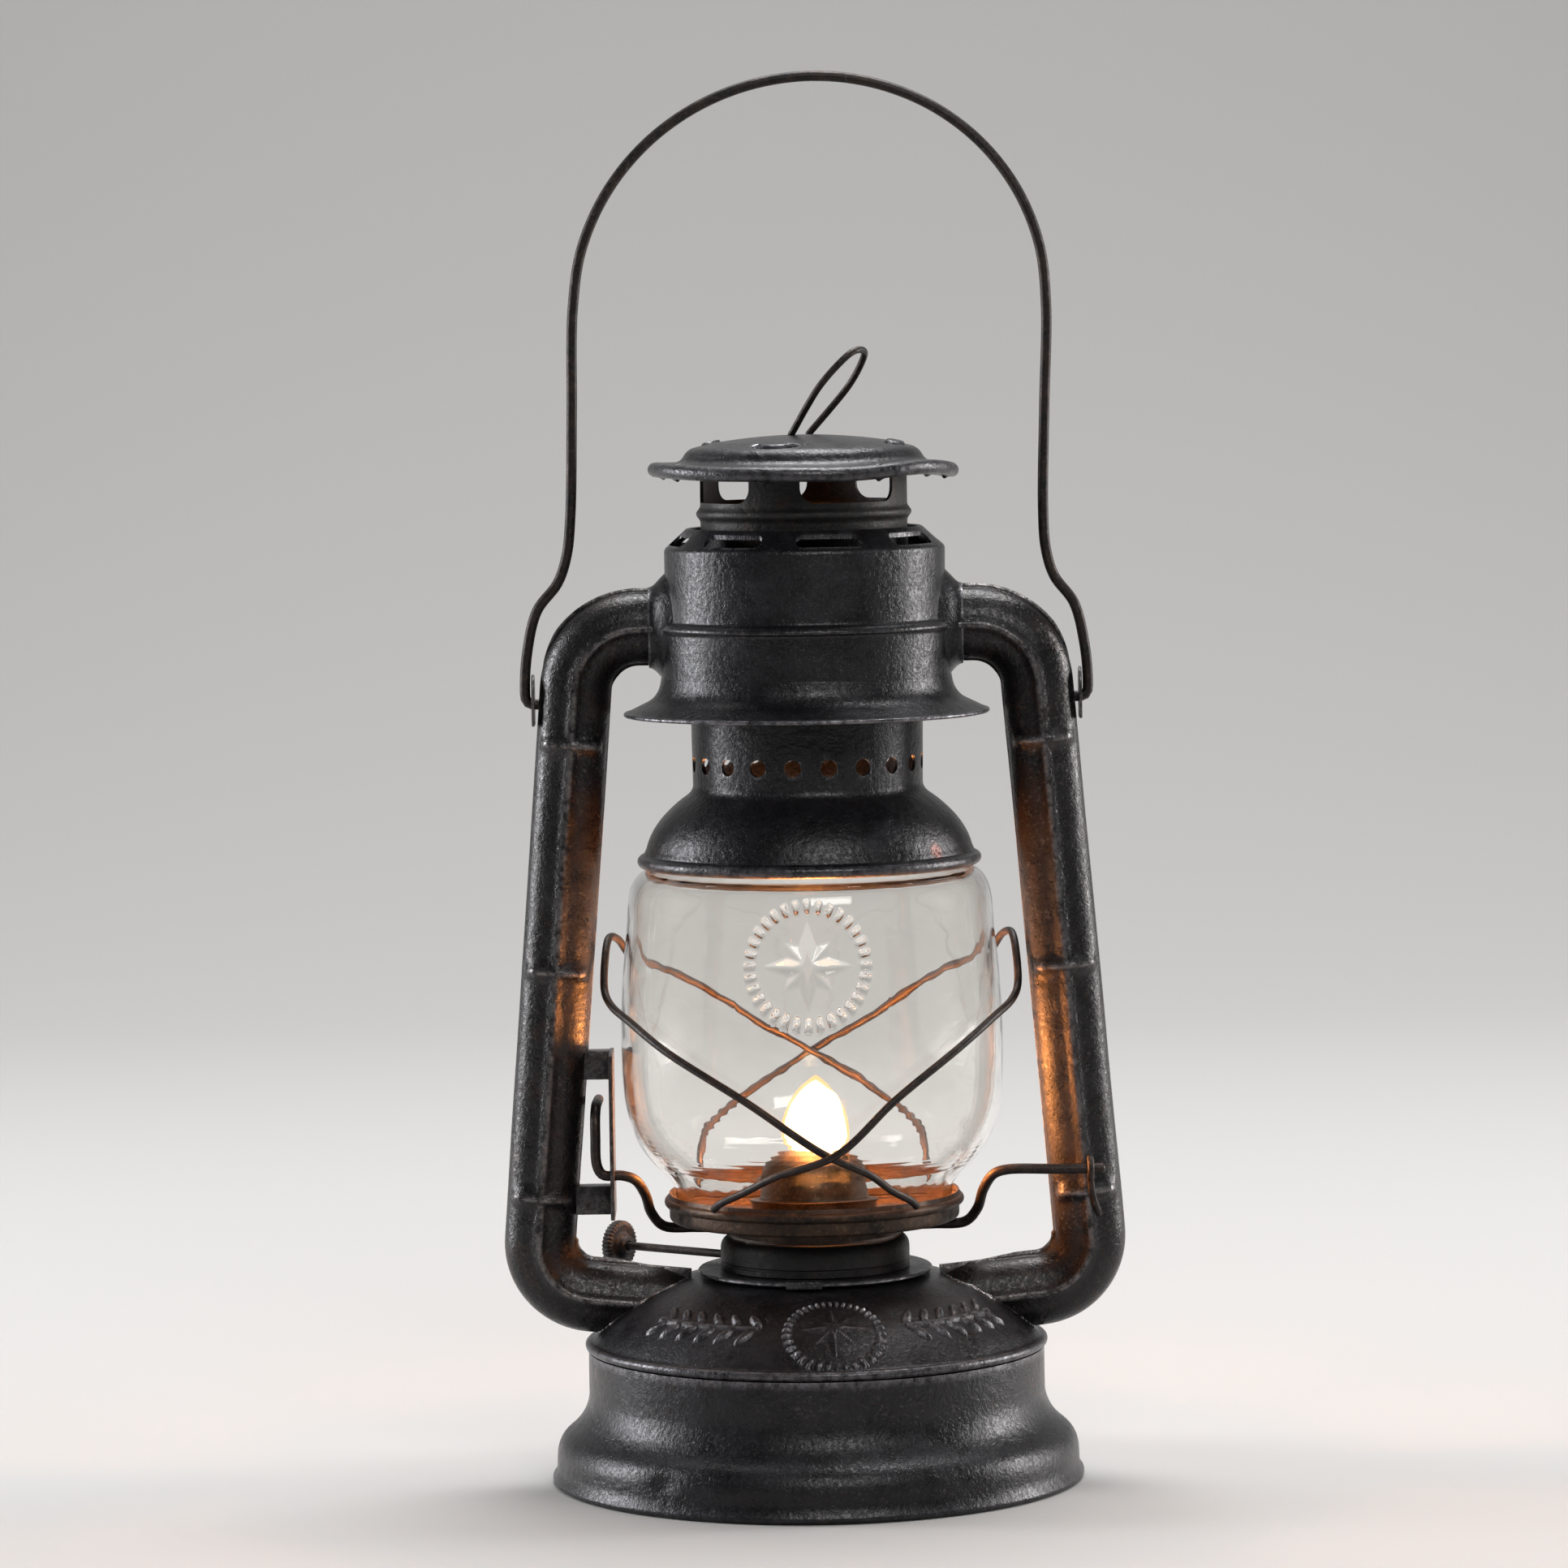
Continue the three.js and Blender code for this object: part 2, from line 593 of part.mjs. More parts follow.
function chimneyCrown() {
  const { radius, bottom, bead: reach, beadZ, top } = CROWN;
  const swell = [v2(radius, beadZ - 1.2), v2(reach, beadZ - 0.4), v2(reach, beadZ + 0.4)];
  const wall = [v2(radius, bottom), ...swell, v2(radius, beadZ + 1.2), v2(radius, top)];
  const windows = [];
  for (let i = 0; i < WINDOWS.count; i += 1) {
    const middle = WINDOWS.turn + (360 / WINDOWS.count) * i;
    windows.push(ringSlice(radius - 3, radius + 3, WINDOWS.bottom, WINDOWS.top, middle, WINDOWS.sweep));
  }
  return piece("chimney_crown", cut(revolve(sheetLoop(wall, SHEET)), ...windows), "steel");
}

function hoodCap() {
  const { rim, rollRadius, rollZ, brim, brimZ, crown, top } = CAP;
  const roll = bead([rim - rollRadius, rollZ], rollRadius, -100, 80, 5);
  const step = [[brim, brimZ], [brim - 1.4, brimZ + 0.4, crown + 0.6, top - 3.4]];
  const dome = outline([...step, [crown - 3, top - 1.8], [10, top, 0, top]], 2);
  return piece("hood_cap", revolve(sheetLoop([...roll, ...dome], SHEET)), "steel");
}

class Helix extends THREE.Curve {
  getPoint(t, target = v3(0, 0, 0)) {
    const angle = 2 * Math.PI * SPRING.turns * t;
    const z = THREE.MathUtils.lerp(SPRING.bottom, SPRING.top, t);
    return target.set(SPRING.radius * Math.cos(angle), SPRING.radius * Math.sin(angle), z);
  }
}

function chimneySpring() {
  return piece("chimney_spring", wire(SPRING.wire, new Helix(), 64, 4), "wire");
}

// Teardrop loop, leaning over to one side of its two feet.
function liftRing() {
  const { wire: radius, span, length, lean, axisTurn, z } = RING;
  const half = span / 2;
  const side = [[half, 0], [half + 0.8, 7], [half + 0.6, 14], [3.4, length - 2.4]];
  const left = side.map(([x, height]) => v3(-x, 0, height));
  const right = side.map(([x, height]) => v3(x, 0, height)).reverse();
  const loop = new THREE.CatmullRomCurve3([...left, v3(0, 0, length), ...right]);
  const geometry = wire(radius, loop, 32, 6);
  geometry.rotateX(radians(lean)).rotateZ(radians(axisTurn)).translate(0, 0, z);
  return piece("lift_ring", geometry, "wire");
}

// ---------------------------------------------------------------- bail
// One arm and half of the bow, from the pivot to the top.
function bailHalf() {
  const { pivotZ, arm, ear, straightTop, top } = BAIL;
  const points = [v3(ear - 4.2, 0, pivotZ), v3(ear - 1.4, 0, pivotZ), v3(ear - 0.3, 0, pivotZ + 0.9)];
  points.push(v3(ear, 0, pivotZ + 4), v3(ear - 0.8, 0, 203), v3(ear - 3.2, 0, 212.4), v3(arm + 3, 0, 219));
  points.push(v3(arm + 0.9, 0, 225.6), v3(arm + 0.1, 0, 235), v3(arm, 0, 260));
  for (let i = 0; i <= 6; i += 1) {
    const angle = radians(15 * i);
    points.push(v3(arm * Math.cos(angle), 0, straightTop + (top - straightTop) * Math.sin(angle)));
  }
  return points;
}

function bail() {
  const half = bailHalf();
  const other = half.slice(0, -1).reverse().map((point) => v3(-point.x, point.y, point.z));
  const leaning = [...half, ...other].map((point) => {
    const above = Math.max(point.z - BAIL.pivotZ - 20, 0);
    return v3(point.x + BAIL.lean * above, point.y, point.z);
  });
  const path = new THREE.CatmullRomCurve3(leaning, false, "centripetal");
  return piece("bail", wire(BAIL.wire, path, 84, 6), "wire");
}

function bailEar() {
  const { face, thickness, halfDepth, bottom, top } = EAR;
  const shape = new THREE.Shape();
  shape.moveTo(-halfDepth, bottom);
  shape.lineTo(halfDepth, bottom);
  shape.lineTo(halfDepth, top - halfDepth);
  shape.absarc(0, top - halfDepth, halfDepth, 0, Math.PI, false);
  shape.closePath();
  const bore = new THREE.Path();
  bore.absarc(0, BAIL.pivotZ, EAR.bore, 0, 2 * Math.PI, true);
  shape.holes.push(bore);
  const plate = thick(shape, thickness, 6);
  return plate.rotateX(Math.PI / 2).rotateZ(Math.PI / 2).translate(face, 0, 0);
}

function bailEars() {
  const ear = bailEar();
  return [piece("right_bail_ear", ear, "wornSteel"), mirrored("left_bail_ear", ear, "wornSteel")];
}

// ---------------------------------------------------------------- globe lift
// The crank from one side bearing down to its bow. Each stop is X and the share of the drop.
function crankSide(side) {
  const { pivotY, pivotZ, drop, bowY, bow } = CRANK;
  const stops = [[46.4, 0], [43.4, 0.08], [41, 0.36], [39.6, 0.72], [36.6, 0.97], [bow + 5, 1]];
  return stops.map(([x, share]) => {
    return v3(side * x, pivotY + (bowY - pivotY) * share, pivotZ - drop * share);
  });
}

function liftCrank() {
  const { wire: radius, pivotY, pivotZ, drop, bow, bowY } = CRANK;
  const { right, left, leverTop, thumbY } = CRANK_END;
  const points = [v3(right, pivotY, pivotZ), v3(58, pivotY, pivotZ), ...crankSide(1)];
  const bowStart = Math.asin(bowY / bow);
  for (let i = 0; i <= 10; i += 1) {
    const angle = bowStart + ((Math.PI - 2 * bowStart) * i) / 10;
    points.push(v3(bow * Math.cos(angle), bow * Math.sin(angle), pivotZ - drop));
  }
  points.push(...crankSide(-1).reverse());
  points.push(v3(left + 1.4, pivotY, pivotZ + 0.2), v3(left, pivotY, pivotZ + 2.4));
  points.push(v3(left - 0.3, pivotY, pivotZ + 10), v3(left - 0.3, pivotY + 1, leverTop - 2));
  points.push(v3(left - 0.2, pivotY + 4.4, leverTop), v3(left, thumbY, leverTop));
  const path = new THREE.CatmullRomCurve3(points, false, "centripetal");
  return piece("lift_crank", wire(radius, path, 96, 6), "wire");
}

// Drawn on the right-hand side and mirrored to the left tube.
function liftBracket() {
  const { face, thickness, front, back, bottom, top } = BRACKET;
  const plate = box(face, face + thickness, front, back, bottom, top);
  const root = face + thickness / 2;
  const upperLug = box(root, LUG.upperReach, LUG.front, LUG.back, top - LUG.height, top);
  const lowerLug = box(root, LUG.lowerReach, LUG.front, LUG.back, bottom, bottom + LUG.height);
  const bore = rod(CRANK.wire + 0.45, 12, "x").translate(face, CRANK.pivotY, CRANK.pivotZ);
  const bracket = cut(join(plate, upperLug, lowerLug), bore, tubeRoom());
  return mirrored("lift_bracket", bracket, "wornSteel");
}

function liftEye() {
  const { x, width, bore, outer } = EYE;
  const { pivotY, pivotZ } = CRANK;
  const loop = rod(outer, width, "x", 16).translate(x, pivotY, pivotZ);
  const foot = box(x - width / 2, x + width / 2, pivotY, -TUBE.halfDepth + 2, pivotZ - 6, pivotZ + 1.5);
  const hole = rod(bore, width + 2, "x", 12).translate(x, pivotY, pivotZ);
  return piece("lift_eye", cut(join(loop, foot), hole, tubeRoom()), "wire");
}

// ---------------------------------------------------------------- the lantern
const lantern = new THREE.Group();
lantern.add(fountBody(), fountBottom(), fountTop(), fountCollar());
lantern.add(fillerNeck(), fillerGasket(), fillerCap());
lantern.add(burnerBasket(), burnerThroat(), burnerCone(), wickTube(), wick());
lantern.add(wickShaft(), wickWheel("wick_wheel_inner", WHEEL.places[0]));
lantern.add(wickWheel("wick_wheel_outer", WHEEL.places[1]), wickKnob());
lantern.add(globePlate(), globe(), ...guardWires());
lantern.add(...sideTubes(), airChamber(), chamberSkirt(), chimneyGuide());
lantern.add(chimneyBell(), chimneyCrown(), hoodCap(), chimneySpring(), liftRing());
lantern.add(bail(), ...bailEars(), liftCrank(), liftBracket(), liftEye());

export default lantern;
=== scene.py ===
# The barn lantern's looks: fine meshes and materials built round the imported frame.
# Shapes are worked out in millimetres in the frame's own axes, and become metres as meshes are made.
import json
import math

import bmesh
import bpy
import numpy as np
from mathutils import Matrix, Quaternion, Vector


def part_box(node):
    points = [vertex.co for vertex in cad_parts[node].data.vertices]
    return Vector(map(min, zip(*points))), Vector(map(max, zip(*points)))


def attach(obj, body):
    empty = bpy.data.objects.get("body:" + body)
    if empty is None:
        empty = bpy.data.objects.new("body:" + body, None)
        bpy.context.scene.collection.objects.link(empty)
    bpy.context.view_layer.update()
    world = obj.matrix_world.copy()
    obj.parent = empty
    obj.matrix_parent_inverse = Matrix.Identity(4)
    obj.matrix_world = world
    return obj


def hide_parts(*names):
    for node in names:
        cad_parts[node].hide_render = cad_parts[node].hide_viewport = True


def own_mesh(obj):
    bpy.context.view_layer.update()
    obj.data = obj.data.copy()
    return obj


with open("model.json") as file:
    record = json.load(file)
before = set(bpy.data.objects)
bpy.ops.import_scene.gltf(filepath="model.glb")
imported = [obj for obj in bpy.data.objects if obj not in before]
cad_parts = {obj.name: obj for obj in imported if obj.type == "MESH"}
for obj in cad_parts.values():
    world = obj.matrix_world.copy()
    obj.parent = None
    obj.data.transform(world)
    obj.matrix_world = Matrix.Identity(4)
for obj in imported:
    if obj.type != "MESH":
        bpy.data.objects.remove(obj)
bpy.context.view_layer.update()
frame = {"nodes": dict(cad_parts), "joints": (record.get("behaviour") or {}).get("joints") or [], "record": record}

# ---------------------------------------------------------------- places taken from the frame
MM = 0.001
BODY = {node: body for body, nodes in frame["record"]["behaviour"]["bodies"].items() for node in nodes}
SLOT = {part["node"]: part["material_slot"] for part in frame["record"]["subparts"]}
JOINT = {joint["name"]: joint for joint in frame["joints"]}


def span(node):
    """Lowest and highest corner of a CAD node, in millimetres."""
    low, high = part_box(node)
    return low / MM, high / MM


def joint_place(name):
    return Vector(JOINT[name]["pos_m"]) / MM


# Turns are in degrees from the front, and sizes and places in millimetres.
SHEET = 0.8
FOOT_RADIUS = span("fount_body")[1].x - 0.2
FOOT_ROLL = 1.2
TANK_RADIUS = 55.5
TANK_TOP = span("fount_body")[1].z
TANK_SEAM = {"radius": TANK_RADIUS - 0.3, "height": 33.6, "bead": 1.1}
DOME_FOOT = Vector((54.6, 34.6))
DOME_MIDDLE = Vector((40, 46.4))
DOME_TOP = Vector((24, 50.3))
DOME_STAR = {"turn": 5, "radius": 45.6, "size": 12.2}
DOME_TWIG = {"radius": 45.5, "first": 22, "last": 61, "pairs": 6, "leaf": (2.7, 1.0), "lean": 42}
FOUNT_COLLAR_BORE = 19
FILLER_PLACE = Vector((0, 42, 45.4))
FILLER_TILT = -31
FILLER_BORE = 9.8

BURNER_TURN = -35
SHAFT = joint_place("wick_turn")
SHAFT_OFFSET = -4.4
SHAFT_RADIUS = 1.0
SHAFT_ENDS = (-56.9, 7.4)
KNOB_END = -57.7
CONE_SLOT = (19.6, 6)
WICK_TUBE = (19, 5.4)
WICK_SIZE = (15.4, 2.1)
WICK_TOP = span("wick")[1].z
FLAME = {"x": 0.4, "low": 79, "high": 97.4, "width": 17.4, "depth": 9.6}

PLATE_TOP = span("globe_plate")[1].z
PLATE_BEAD = 36.4
PLATE_RIM = 35.2
GLASS_WALL = 2.0
# Each stop of the globe is a radius and a height, or a curve's control point and its end.
GLOBE_STOPS = [
    (33.2, 65.2), (33.6, 70.6), (33.9, 73.2, 37.6, 76.6), (45.4, 83.2, 46.1, 97), (46.9, 112, 45.2, 129),
    (44.6, 133, 44.3, 140), (43.9, 147, 40.2, 148.9), (35.2, 151.2, 34, 156),
]
GLOBE_STAR = {"turn": -1.146, "radius": 45.5, "height": 129.5, "size": 15.5}
# Each stop of a guard wire is its angle from the front, its height and its stand-off from the glass.
# The stand-off is None where the two wires cross.
GUARD_STOPS = [
    (40, 70, 0.3), (37, 71.4, 0.8), (27, 74.6, 1.6), (15, 79.3, 2), (-2, 85.2, None),
    (-21, 97.4, 1.6), (-45, 108.4, 1.6), (-62, 114.3, 1.8), (-78, 117.6, 2.6), (-85, 120.6, 3.4),
    (-89, 127, 3.6), (-96, 132, 3.6), (-106, 131, 3), (-116, 125.4, 2), (-133, 121, 1.6),
    (-147, 115.4, 1.6), (-163, 107, 1.6), (-181, 98.3, None), (-200, 89.3, 1.6), (-218, 81, 1.4),
    (-229, 75.2, 1), (-233, 71, 0.4),
]
GUARD_RADIUS = 0.95
CROSSING_SHIFT = 4.4

TUBE_HALF_WIDTH = 8.65
TUBE_HALF_DEPTH = 7.5
TUBE_Z = 207.9
TUBE_STEP = 0.8
CROSS_RIBS = (180, 125, 70)

SHOULDER_SLOTS = {"count": 8, "turn": 11, "inner": 29.5, "outer": 32.7, "sweep": 30}
BELL_HOLES = {"count": 20, "turn": -7.7, "height": 175, "radius": 2.05}
RUST_SPOT = Vector((30, -25, 154.5))
CROWN_RADIUS = 25
WINDOWS = {"count": 4, "turn": 28, "half": 13.2, "low": 238, "high": 244.6, "corner": 3.6}
CLINCHES = (-17, 73, 163, 253)
CAP_NOTCHES = {"count": 8, "turn": -14.5, "radius": 34.6}
SPRING_WIRE = 0.6
SPRING_RADIUS = 27.3
SPRING_TURNS = 4.5
RING_PLACE = joint_place("ring_hinge")
RING_WIRE = 0.84
RING_LEAN = 40
RING_TURN = 60

BAIL_PIVOT = joint_place("bail_swing")
BAIL_WIRE = 1.27
EAR_HALF = 4.0
CRANK_PIVOT = joint_place("lever_swing")
CRANK_WIRE = 1.25
PIN_HOLE = 1.7

# ---------------------------------------------------------------- camera
CAMERA_PLACE = Vector((-0.0055, -1.55, 0.2825))
CAMERA_TARGET = Vector((-0.0058, 0, 0.1695))
CAMERA_ROLL = -0.9
CAMERA_LENS = 147.3


def add_camera():
    camera = bpy.data.objects.new("camera", bpy.data.cameras.new("camera"))
    bpy.context.scene.collection.objects.link(camera)
    camera.data.lens = CAMERA_LENS
    camera.data.clip_end = 20
    camera.location = CAMERA_PLACE
    aim = (CAMERA_TARGET - CAMERA_PLACE).to_track_quat("-Z", "Y")
    roll = Quaternion((0, 0, 1), math.radians(CAMERA_ROLL))
    camera.rotation_euler = (aim @ roll).to_euler()
    bpy.context.scene.camera = camera


add_camera()


# ---------------------------------------------------------------- lines
def outline(stops, divisions=14):
    """Points (r, z) of an outline. A stop with four numbers ends a curve: its control point and its end."""
    points = [Vector(stops[0])]
    for stop in stops[1:]:
        if len(stop) == 2:
            points.append(Vector(stop))
            continue
        start, control, end = points[-1], Vector(stop[:2]), Vector(stop[2:])
        for k in range(1, divisions + 1):
            t = k / divisions
            points.append(start * (1 - t) ** 2 + control * 2 * t * (1 - t) + end * t ** 2)
    return points


def arc(centre, radius, start, end, steps=14):
    """Points of a round bead, seen from its centre, between two directions in degrees."""
    angles = [math.radians(start + (end - start) * k / steps) for k in range(steps + 1)]
    return [Vector((centre[0] + radius * math.cos(a), centre[1] + radius * math.sin(a))) for a in angles]


def sheet_loop(points, thickness=SHEET):
    """The outline, and back along its left side at the thickness of the sheet."""
    inner = []
    for i, point in enumerate(points):
        ahead = (points[min(i + 1, len(points) - 1)] - point).normalized()
        into = (point - points[i - 1]).normalized() if i else ahead
        bisector = (into + (ahead if i < len(points) - 1 else into)).normalized()
        mitre = thickness / max(bisector.dot(into), 0.5)
        inner.append(Vector((max(point.x - bisector.y * mitre, 0), point.y + bisector.x * mitre)))
    return points + inner[::-1]


def stepped(loop, spacing):
    """A flat closed loop with its points an even distance apart."""
    return [(u, v) for u, v, _ in spaced([(u, v, 0) for u, v in loop + loop[:1]], spacing)[:-1]]


def subdivided(points, longest=2.5):
    """The same line with its long runs cut into short ones."""
    result = []
    for a, b in zip(points, points[1:] + points[:1]):
        parts = max(1, math.ceil((b - a).length / longest))
        result += [a.lerp(b, k / parts) for k in range(parts)]
    return result


def bent(corners, step=8):
    """Straight runs with round bends. Each corner is (place, bend radius)."""
    points = [Vector(corners[0][0])]
    for before, (place, radius), after in zip(corners, corners[1:], corners[2:]):
        corner = Vector(place)
        back = (Vector(before[0]) - corner).normalized()
        ahead = (Vector(after[0]) - corner).normalized()
        turn = math.pi - back.angle(ahead)
        centre = corner + (back + ahead).normalized() * radius / math.cos(turn / 2)
        arm = corner + back * radius * math.tan(turn / 2) - centre
        steps = max(2, math.ceil(math.degrees(turn) / step))
        axis = ahead.cross(back)
        points += [centre + Quaternion(axis, turn * k / steps) @ arm for k in range(steps + 1)]
    points.append(Vector(corners[-1][0]))
    return points


def spaced(points, spacing):
    """The same line with its points an even distance apart."""
    line = np.array([tuple(p) for p in points], float)
    reach = np.concatenate([[0], np.cumsum(np.linalg.norm(np.diff(line, axis=0), axis=1))])
    count = max(2, int(round(reach[-1] / spacing)) + 1)
    at = np.linspace(0, reach[-1], count)
    return np.stack([np.interp(at, reach, line[:, k]) for k in range(3)], axis=1)


def spline(points, spacing):
    """A smooth line through the points (centripetal Catmull-Rom), evenly spaced."""
    knots = [Vector(p) for p in points]
    knots = [knots[0] * 2 - knots[1], *knots, knots[-1] * 2 - knots[-2]]
    fine = []
    for p0, p1, p2, p3 in zip(knots, knots[1:], knots[2:], knots[3:]):
        t1 = math.sqrt((p1 - p0).length)
        t2 = t1 + math.sqrt((p2 - p1).length)
        t3 = t2 + math.sqrt((p3 - p2).length)
        for k in range(12):
            t = t1 + (t2 - t1) * k / 12
            a1 = p0.lerp(p1, t / t1)
            a2 = p1.lerp(p2, (t - t1) / (t2 - t1))
            a3 = p2.lerp(p3, (t - t2) / (t3 - t2))
            b1 = a1.lerp(a2, t / t2)
            b2 = a2.lerp(a3, (t - t1) / (t3 - t1))
            fine.append(b1.lerp(b2, (t - t1) / (t2 - t1)))
    fine.append(knots[-2])
    return spaced(fine, spacing)


def stadium(length, width, steps=10):
    """A flat loop with round ends."""
    reach = (length - width) / 2
    right = [(reach + width / 2 * math.cos(a), width / 2 * math.sin(a))
             for a in np.linspace(-math.pi / 2, math.pi / 2, steps)]
    return right + [(-u, -v) for u, v in right]


# ---------------------------------------------------------------- meshes
def new_mesh(vertices, faces):
    """A closed mesh, in metres, from vertices in millimetres: doubles merged, ends filled, faces out."""
    mesh = bpy.data.meshes.new("shape")
    mesh.from_pydata((np.asarray(vertices, float) * MM).tolist(), [], [list(f) for f in faces])
    build = bmesh.new()
    build.from_mesh(mesh)
    bmesh.ops.remove_doubles(build, verts=build.verts, dist=1e-7)
    rims = [edge for edge in build.edges if edge.is_boundary]
    if rims:
        bmesh.ops.holes_fill(build, edges=rims, sides=0)
    bmesh.ops.recalc_face_normals(build, faces=build.faces)
    build.to_mesh(mesh)
    build.free()
    return mesh


def skin(grid, wrap_rows):
    """A mesh over grid[row, column]; the columns always join up, the rows only if they wrap."""
    rows, columns = grid.shape[:2]
    index = np.arange(rows * columns).reshape(rows, columns)
    low = index if wrap_rows else index[:-1]
    high = np.roll(index, -1, 0) if wrap_rows else index[1:]
    faces = np.stack([low, np.roll(low, -1, 1), np.roll(high, -1, 1), high], -1).reshape(-1, 4)
    return new_mesh(grid.reshape(-1, 3), faces)


def turned_grid(loop, angles):
    line = np.array([tuple(p) for p in subdivided(loop)])
    radius, height = line[:, :1], line[:, 1:]
    return np.stack([radius * np.sin(angles), -radius * np.cos(angles), height + 0 * angles], -1)


def revolve(loop, segments=160):
    """A solid of revolution about Z. Angles run from the front (-Y) towards +X."""
    angles = np.linspace(0, 2 * math.pi, segments, endpoint=False)
    return skin(turned_grid(loop, angles), True)


def ring(inner, outer, bottom, top, soften=0.15, segments=160):
    """A ring of rectangular section with softened edges."""
    s = min(soften, (top - bottom) / 3, (outer - inner) / 3)
    loop = [(outer - s, bottom), (outer, bottom + s), (outer, top - s), (outer - s, top)]
    loop += [(inner + s, top), (inner, top - s), (inner, bottom + s), (inner + s, bottom)]
    return revolve([Vector(p) for p in loop], segments)


def wire(points, radius, sides=14, closed=False):
    """Round wire along evenly spaced points, with rounded ends unless it closes on itself."""
    line = np.asarray(points, float)
    ahead = np.roll(line, -1, 0) - np.roll(line, 1, 0) if closed else np.gradient(line, axis=0)
    ahead /= np.linalg.norm(ahead, axis=1)[:, None]
    across = np.cross(ahead[0], (0.3, 0.5, 0.8))
    rings = []
    turn = np.linspace(0, 2 * math.pi, sides, endpoint=False)[:, None]
    for tangent in ahead:
        across = across - tangent * across.dot(tangent)
        across /= np.linalg.norm(across)
        rings.append(np.cos(turn) * across + np.sin(turn) * np.cross(tangent, across))
    rings = np.array(rings)
    grid = line[:, None] + radius * rings
    if closed:
        return skin(grid, True)
    ends = []
    for k, way in ((0, -1), (-1, 1)):
        ends.append([line[k] + way * ahead[k] * radius * math.sin(a) * 0.7 + rings[k] * radius * math.cos(a)
                     for a in np.radians([90, 65, 40, 18])])
    return skin(np.concatenate([ends[0], grid, ends[1][::-1]]), False)


def block(low, high, soften=0.25):
    """A box with bevelled edges."""
    mesh = bpy.data.meshes.new("block")
    build = bmesh.new()
    bmesh.ops.create_cube(build, size=1)
    size, middle = Vector(high) - Vector(low), (Vector(high) + Vector(low)) / 2
    for vertex in build.verts:
        vertex.co = (Vector([a * b for a, b in zip(vertex.co, size)]) + middle) * MM
    bmesh.ops.bevel(build, geom=build.edges, offset=soften * MM, segments=2, affect="EDGES", profile=0.5)
    build.to_mesh(mesh)
    build.free()
    return mesh


def upright(u, v, w):
    return u, v, w


def prism(points, low, high, place=upright):
    """A flat outline given a thickness. place(u, v, w) says where a point of it goes."""
    count = len(points)
    vertices = [place(u, v, w) for w in (low, high) for u, v in points]
    sides = [(i, (i + 1) % count, (i + 1) % count + count, i + count) for i in range(count)]
    return new_mesh(vertices, [*sides, tuple(range(count)), tuple(range(count, 2 * count))])


def joined(meshes):
    """Several meshes as one, or as one group of cutters."""
    build = bmesh.new()
    for mesh in meshes:
        build.from_mesh(mesh)
    result = bpy.data.meshes.new("group")
    build.to_mesh(result)
    build.free()
    return result


def carved(mesh, cutters, crossing=False):
    """The mesh with the cutters taken out of it. A mesh whose own faces cross takes a slower test."""
    body = bpy.data.objects.new("body_to_cut", mesh)
    tool = bpy.data.objects.new("cutters", joined(cutters))
    for item in (body, tool):
        bpy.context.scene.collection.objects.link(item)
    cut = body.modifiers.new("cut", "BOOLEAN")
    cut.operation = "DIFFERENCE"
    cut.solver = "EXACT"
    cut.use_self = crossing
    cut.object = tool
    shaped = body.evaluated_get(bpy.context.evaluated_depsgraph_get())
    result = bpy.data.meshes.new_from_object(shaped)
    for item in (body, tool):
        bpy.data.objects.remove(item)
    return result


def moved(mesh, change):
    """Moves every vertex by a function of its places (an array in millimetres)."""
    places = np.empty(len(mesh.vertices) * 3)
    mesh.vertices.foreach_get("co", places)
    places = change(places.reshape(-1, 3) / MM)
    mesh.vertices.foreach_set("co", (places * MM).ravel())
    mesh.update()
    return mesh


def turned_about_z(degrees):
    cos, sin = math.cos(math.radians(degrees)), math.sin(math.radians(degrees))
    return lambda p: np.stack([p[:, 0] * cos - p[:, 1] * sin, p[:, 0] * sin + p[:, 1] * cos, p[:, 2]], -1)


def turned_about_x(degrees):
    cos, sin = math.cos(math.radians(degrees)), math.sin(math.radians(degrees))
    return lambda p: np.stack([p[:, 0], p[:, 1] * cos - p[:, 2] * sin, p[:, 1] * sin + p[:, 2] * cos], -1)


def mark_wear(mesh, share, softest=0.16, sharpest=0.75):
    """Stores how sharply the surface bulges at each vertex, which is where it is rubbed bare."""
    count = len(mesh.vertices)
    places, normals = np.empty(count * 3), np.empty(count * 3)
    mesh.vertices.foreach_get("co", places)
    mesh.vertex_normals.foreach_get("vector", normals)
    places, normals = places.reshape(-1, 3) / MM, normals.reshape(-1, 3)
    ends = np.empty(len(mesh.edges) * 2, int)
    mesh.edges.foreach_get("vertices", ends)
    start, end = ends.reshape(-1, 2).T
    run = places[end] - places[start]
    length = np.maximum((run * run).sum(1), 0.06)
    bulge, edges = np.zeros(count), np.zeros(count)
    np.add.at(bulge, start, -2 * (normals[start] * run).sum(1) / length)
    np.add.at(bulge, end, 2 * (normals[end] * run).sum(1) / length)
    np.add.at(edges, start, 1)
    np.add.at(edges, end, 1)
    wear = share * np.clip((bulge / np.maximum(edges, 1) - softest) / (sharpest - softest), 0, 1)
    mesh.attributes.new("wear", "FLOAT", "POINT").data.foreach_set("value", wear.astype(np.float32))


def show(name, mesh, material, smooth, worn):
    """Puts a finished mesh into the scene. worn says how much its edges are rubbed bare."""
    mesh.name = name
    mark_wear(mesh, worn)
    mesh.shade_smooth()
    mesh.set_sharp_from_angle(angle=math.radians(smooth))
    mesh.materials.clear()
    mesh.materials.append(material)
    thing = bpy.data.objects.new(name, mesh)
    bpy.context.scene.collection.objects.link(thing)
    return thing


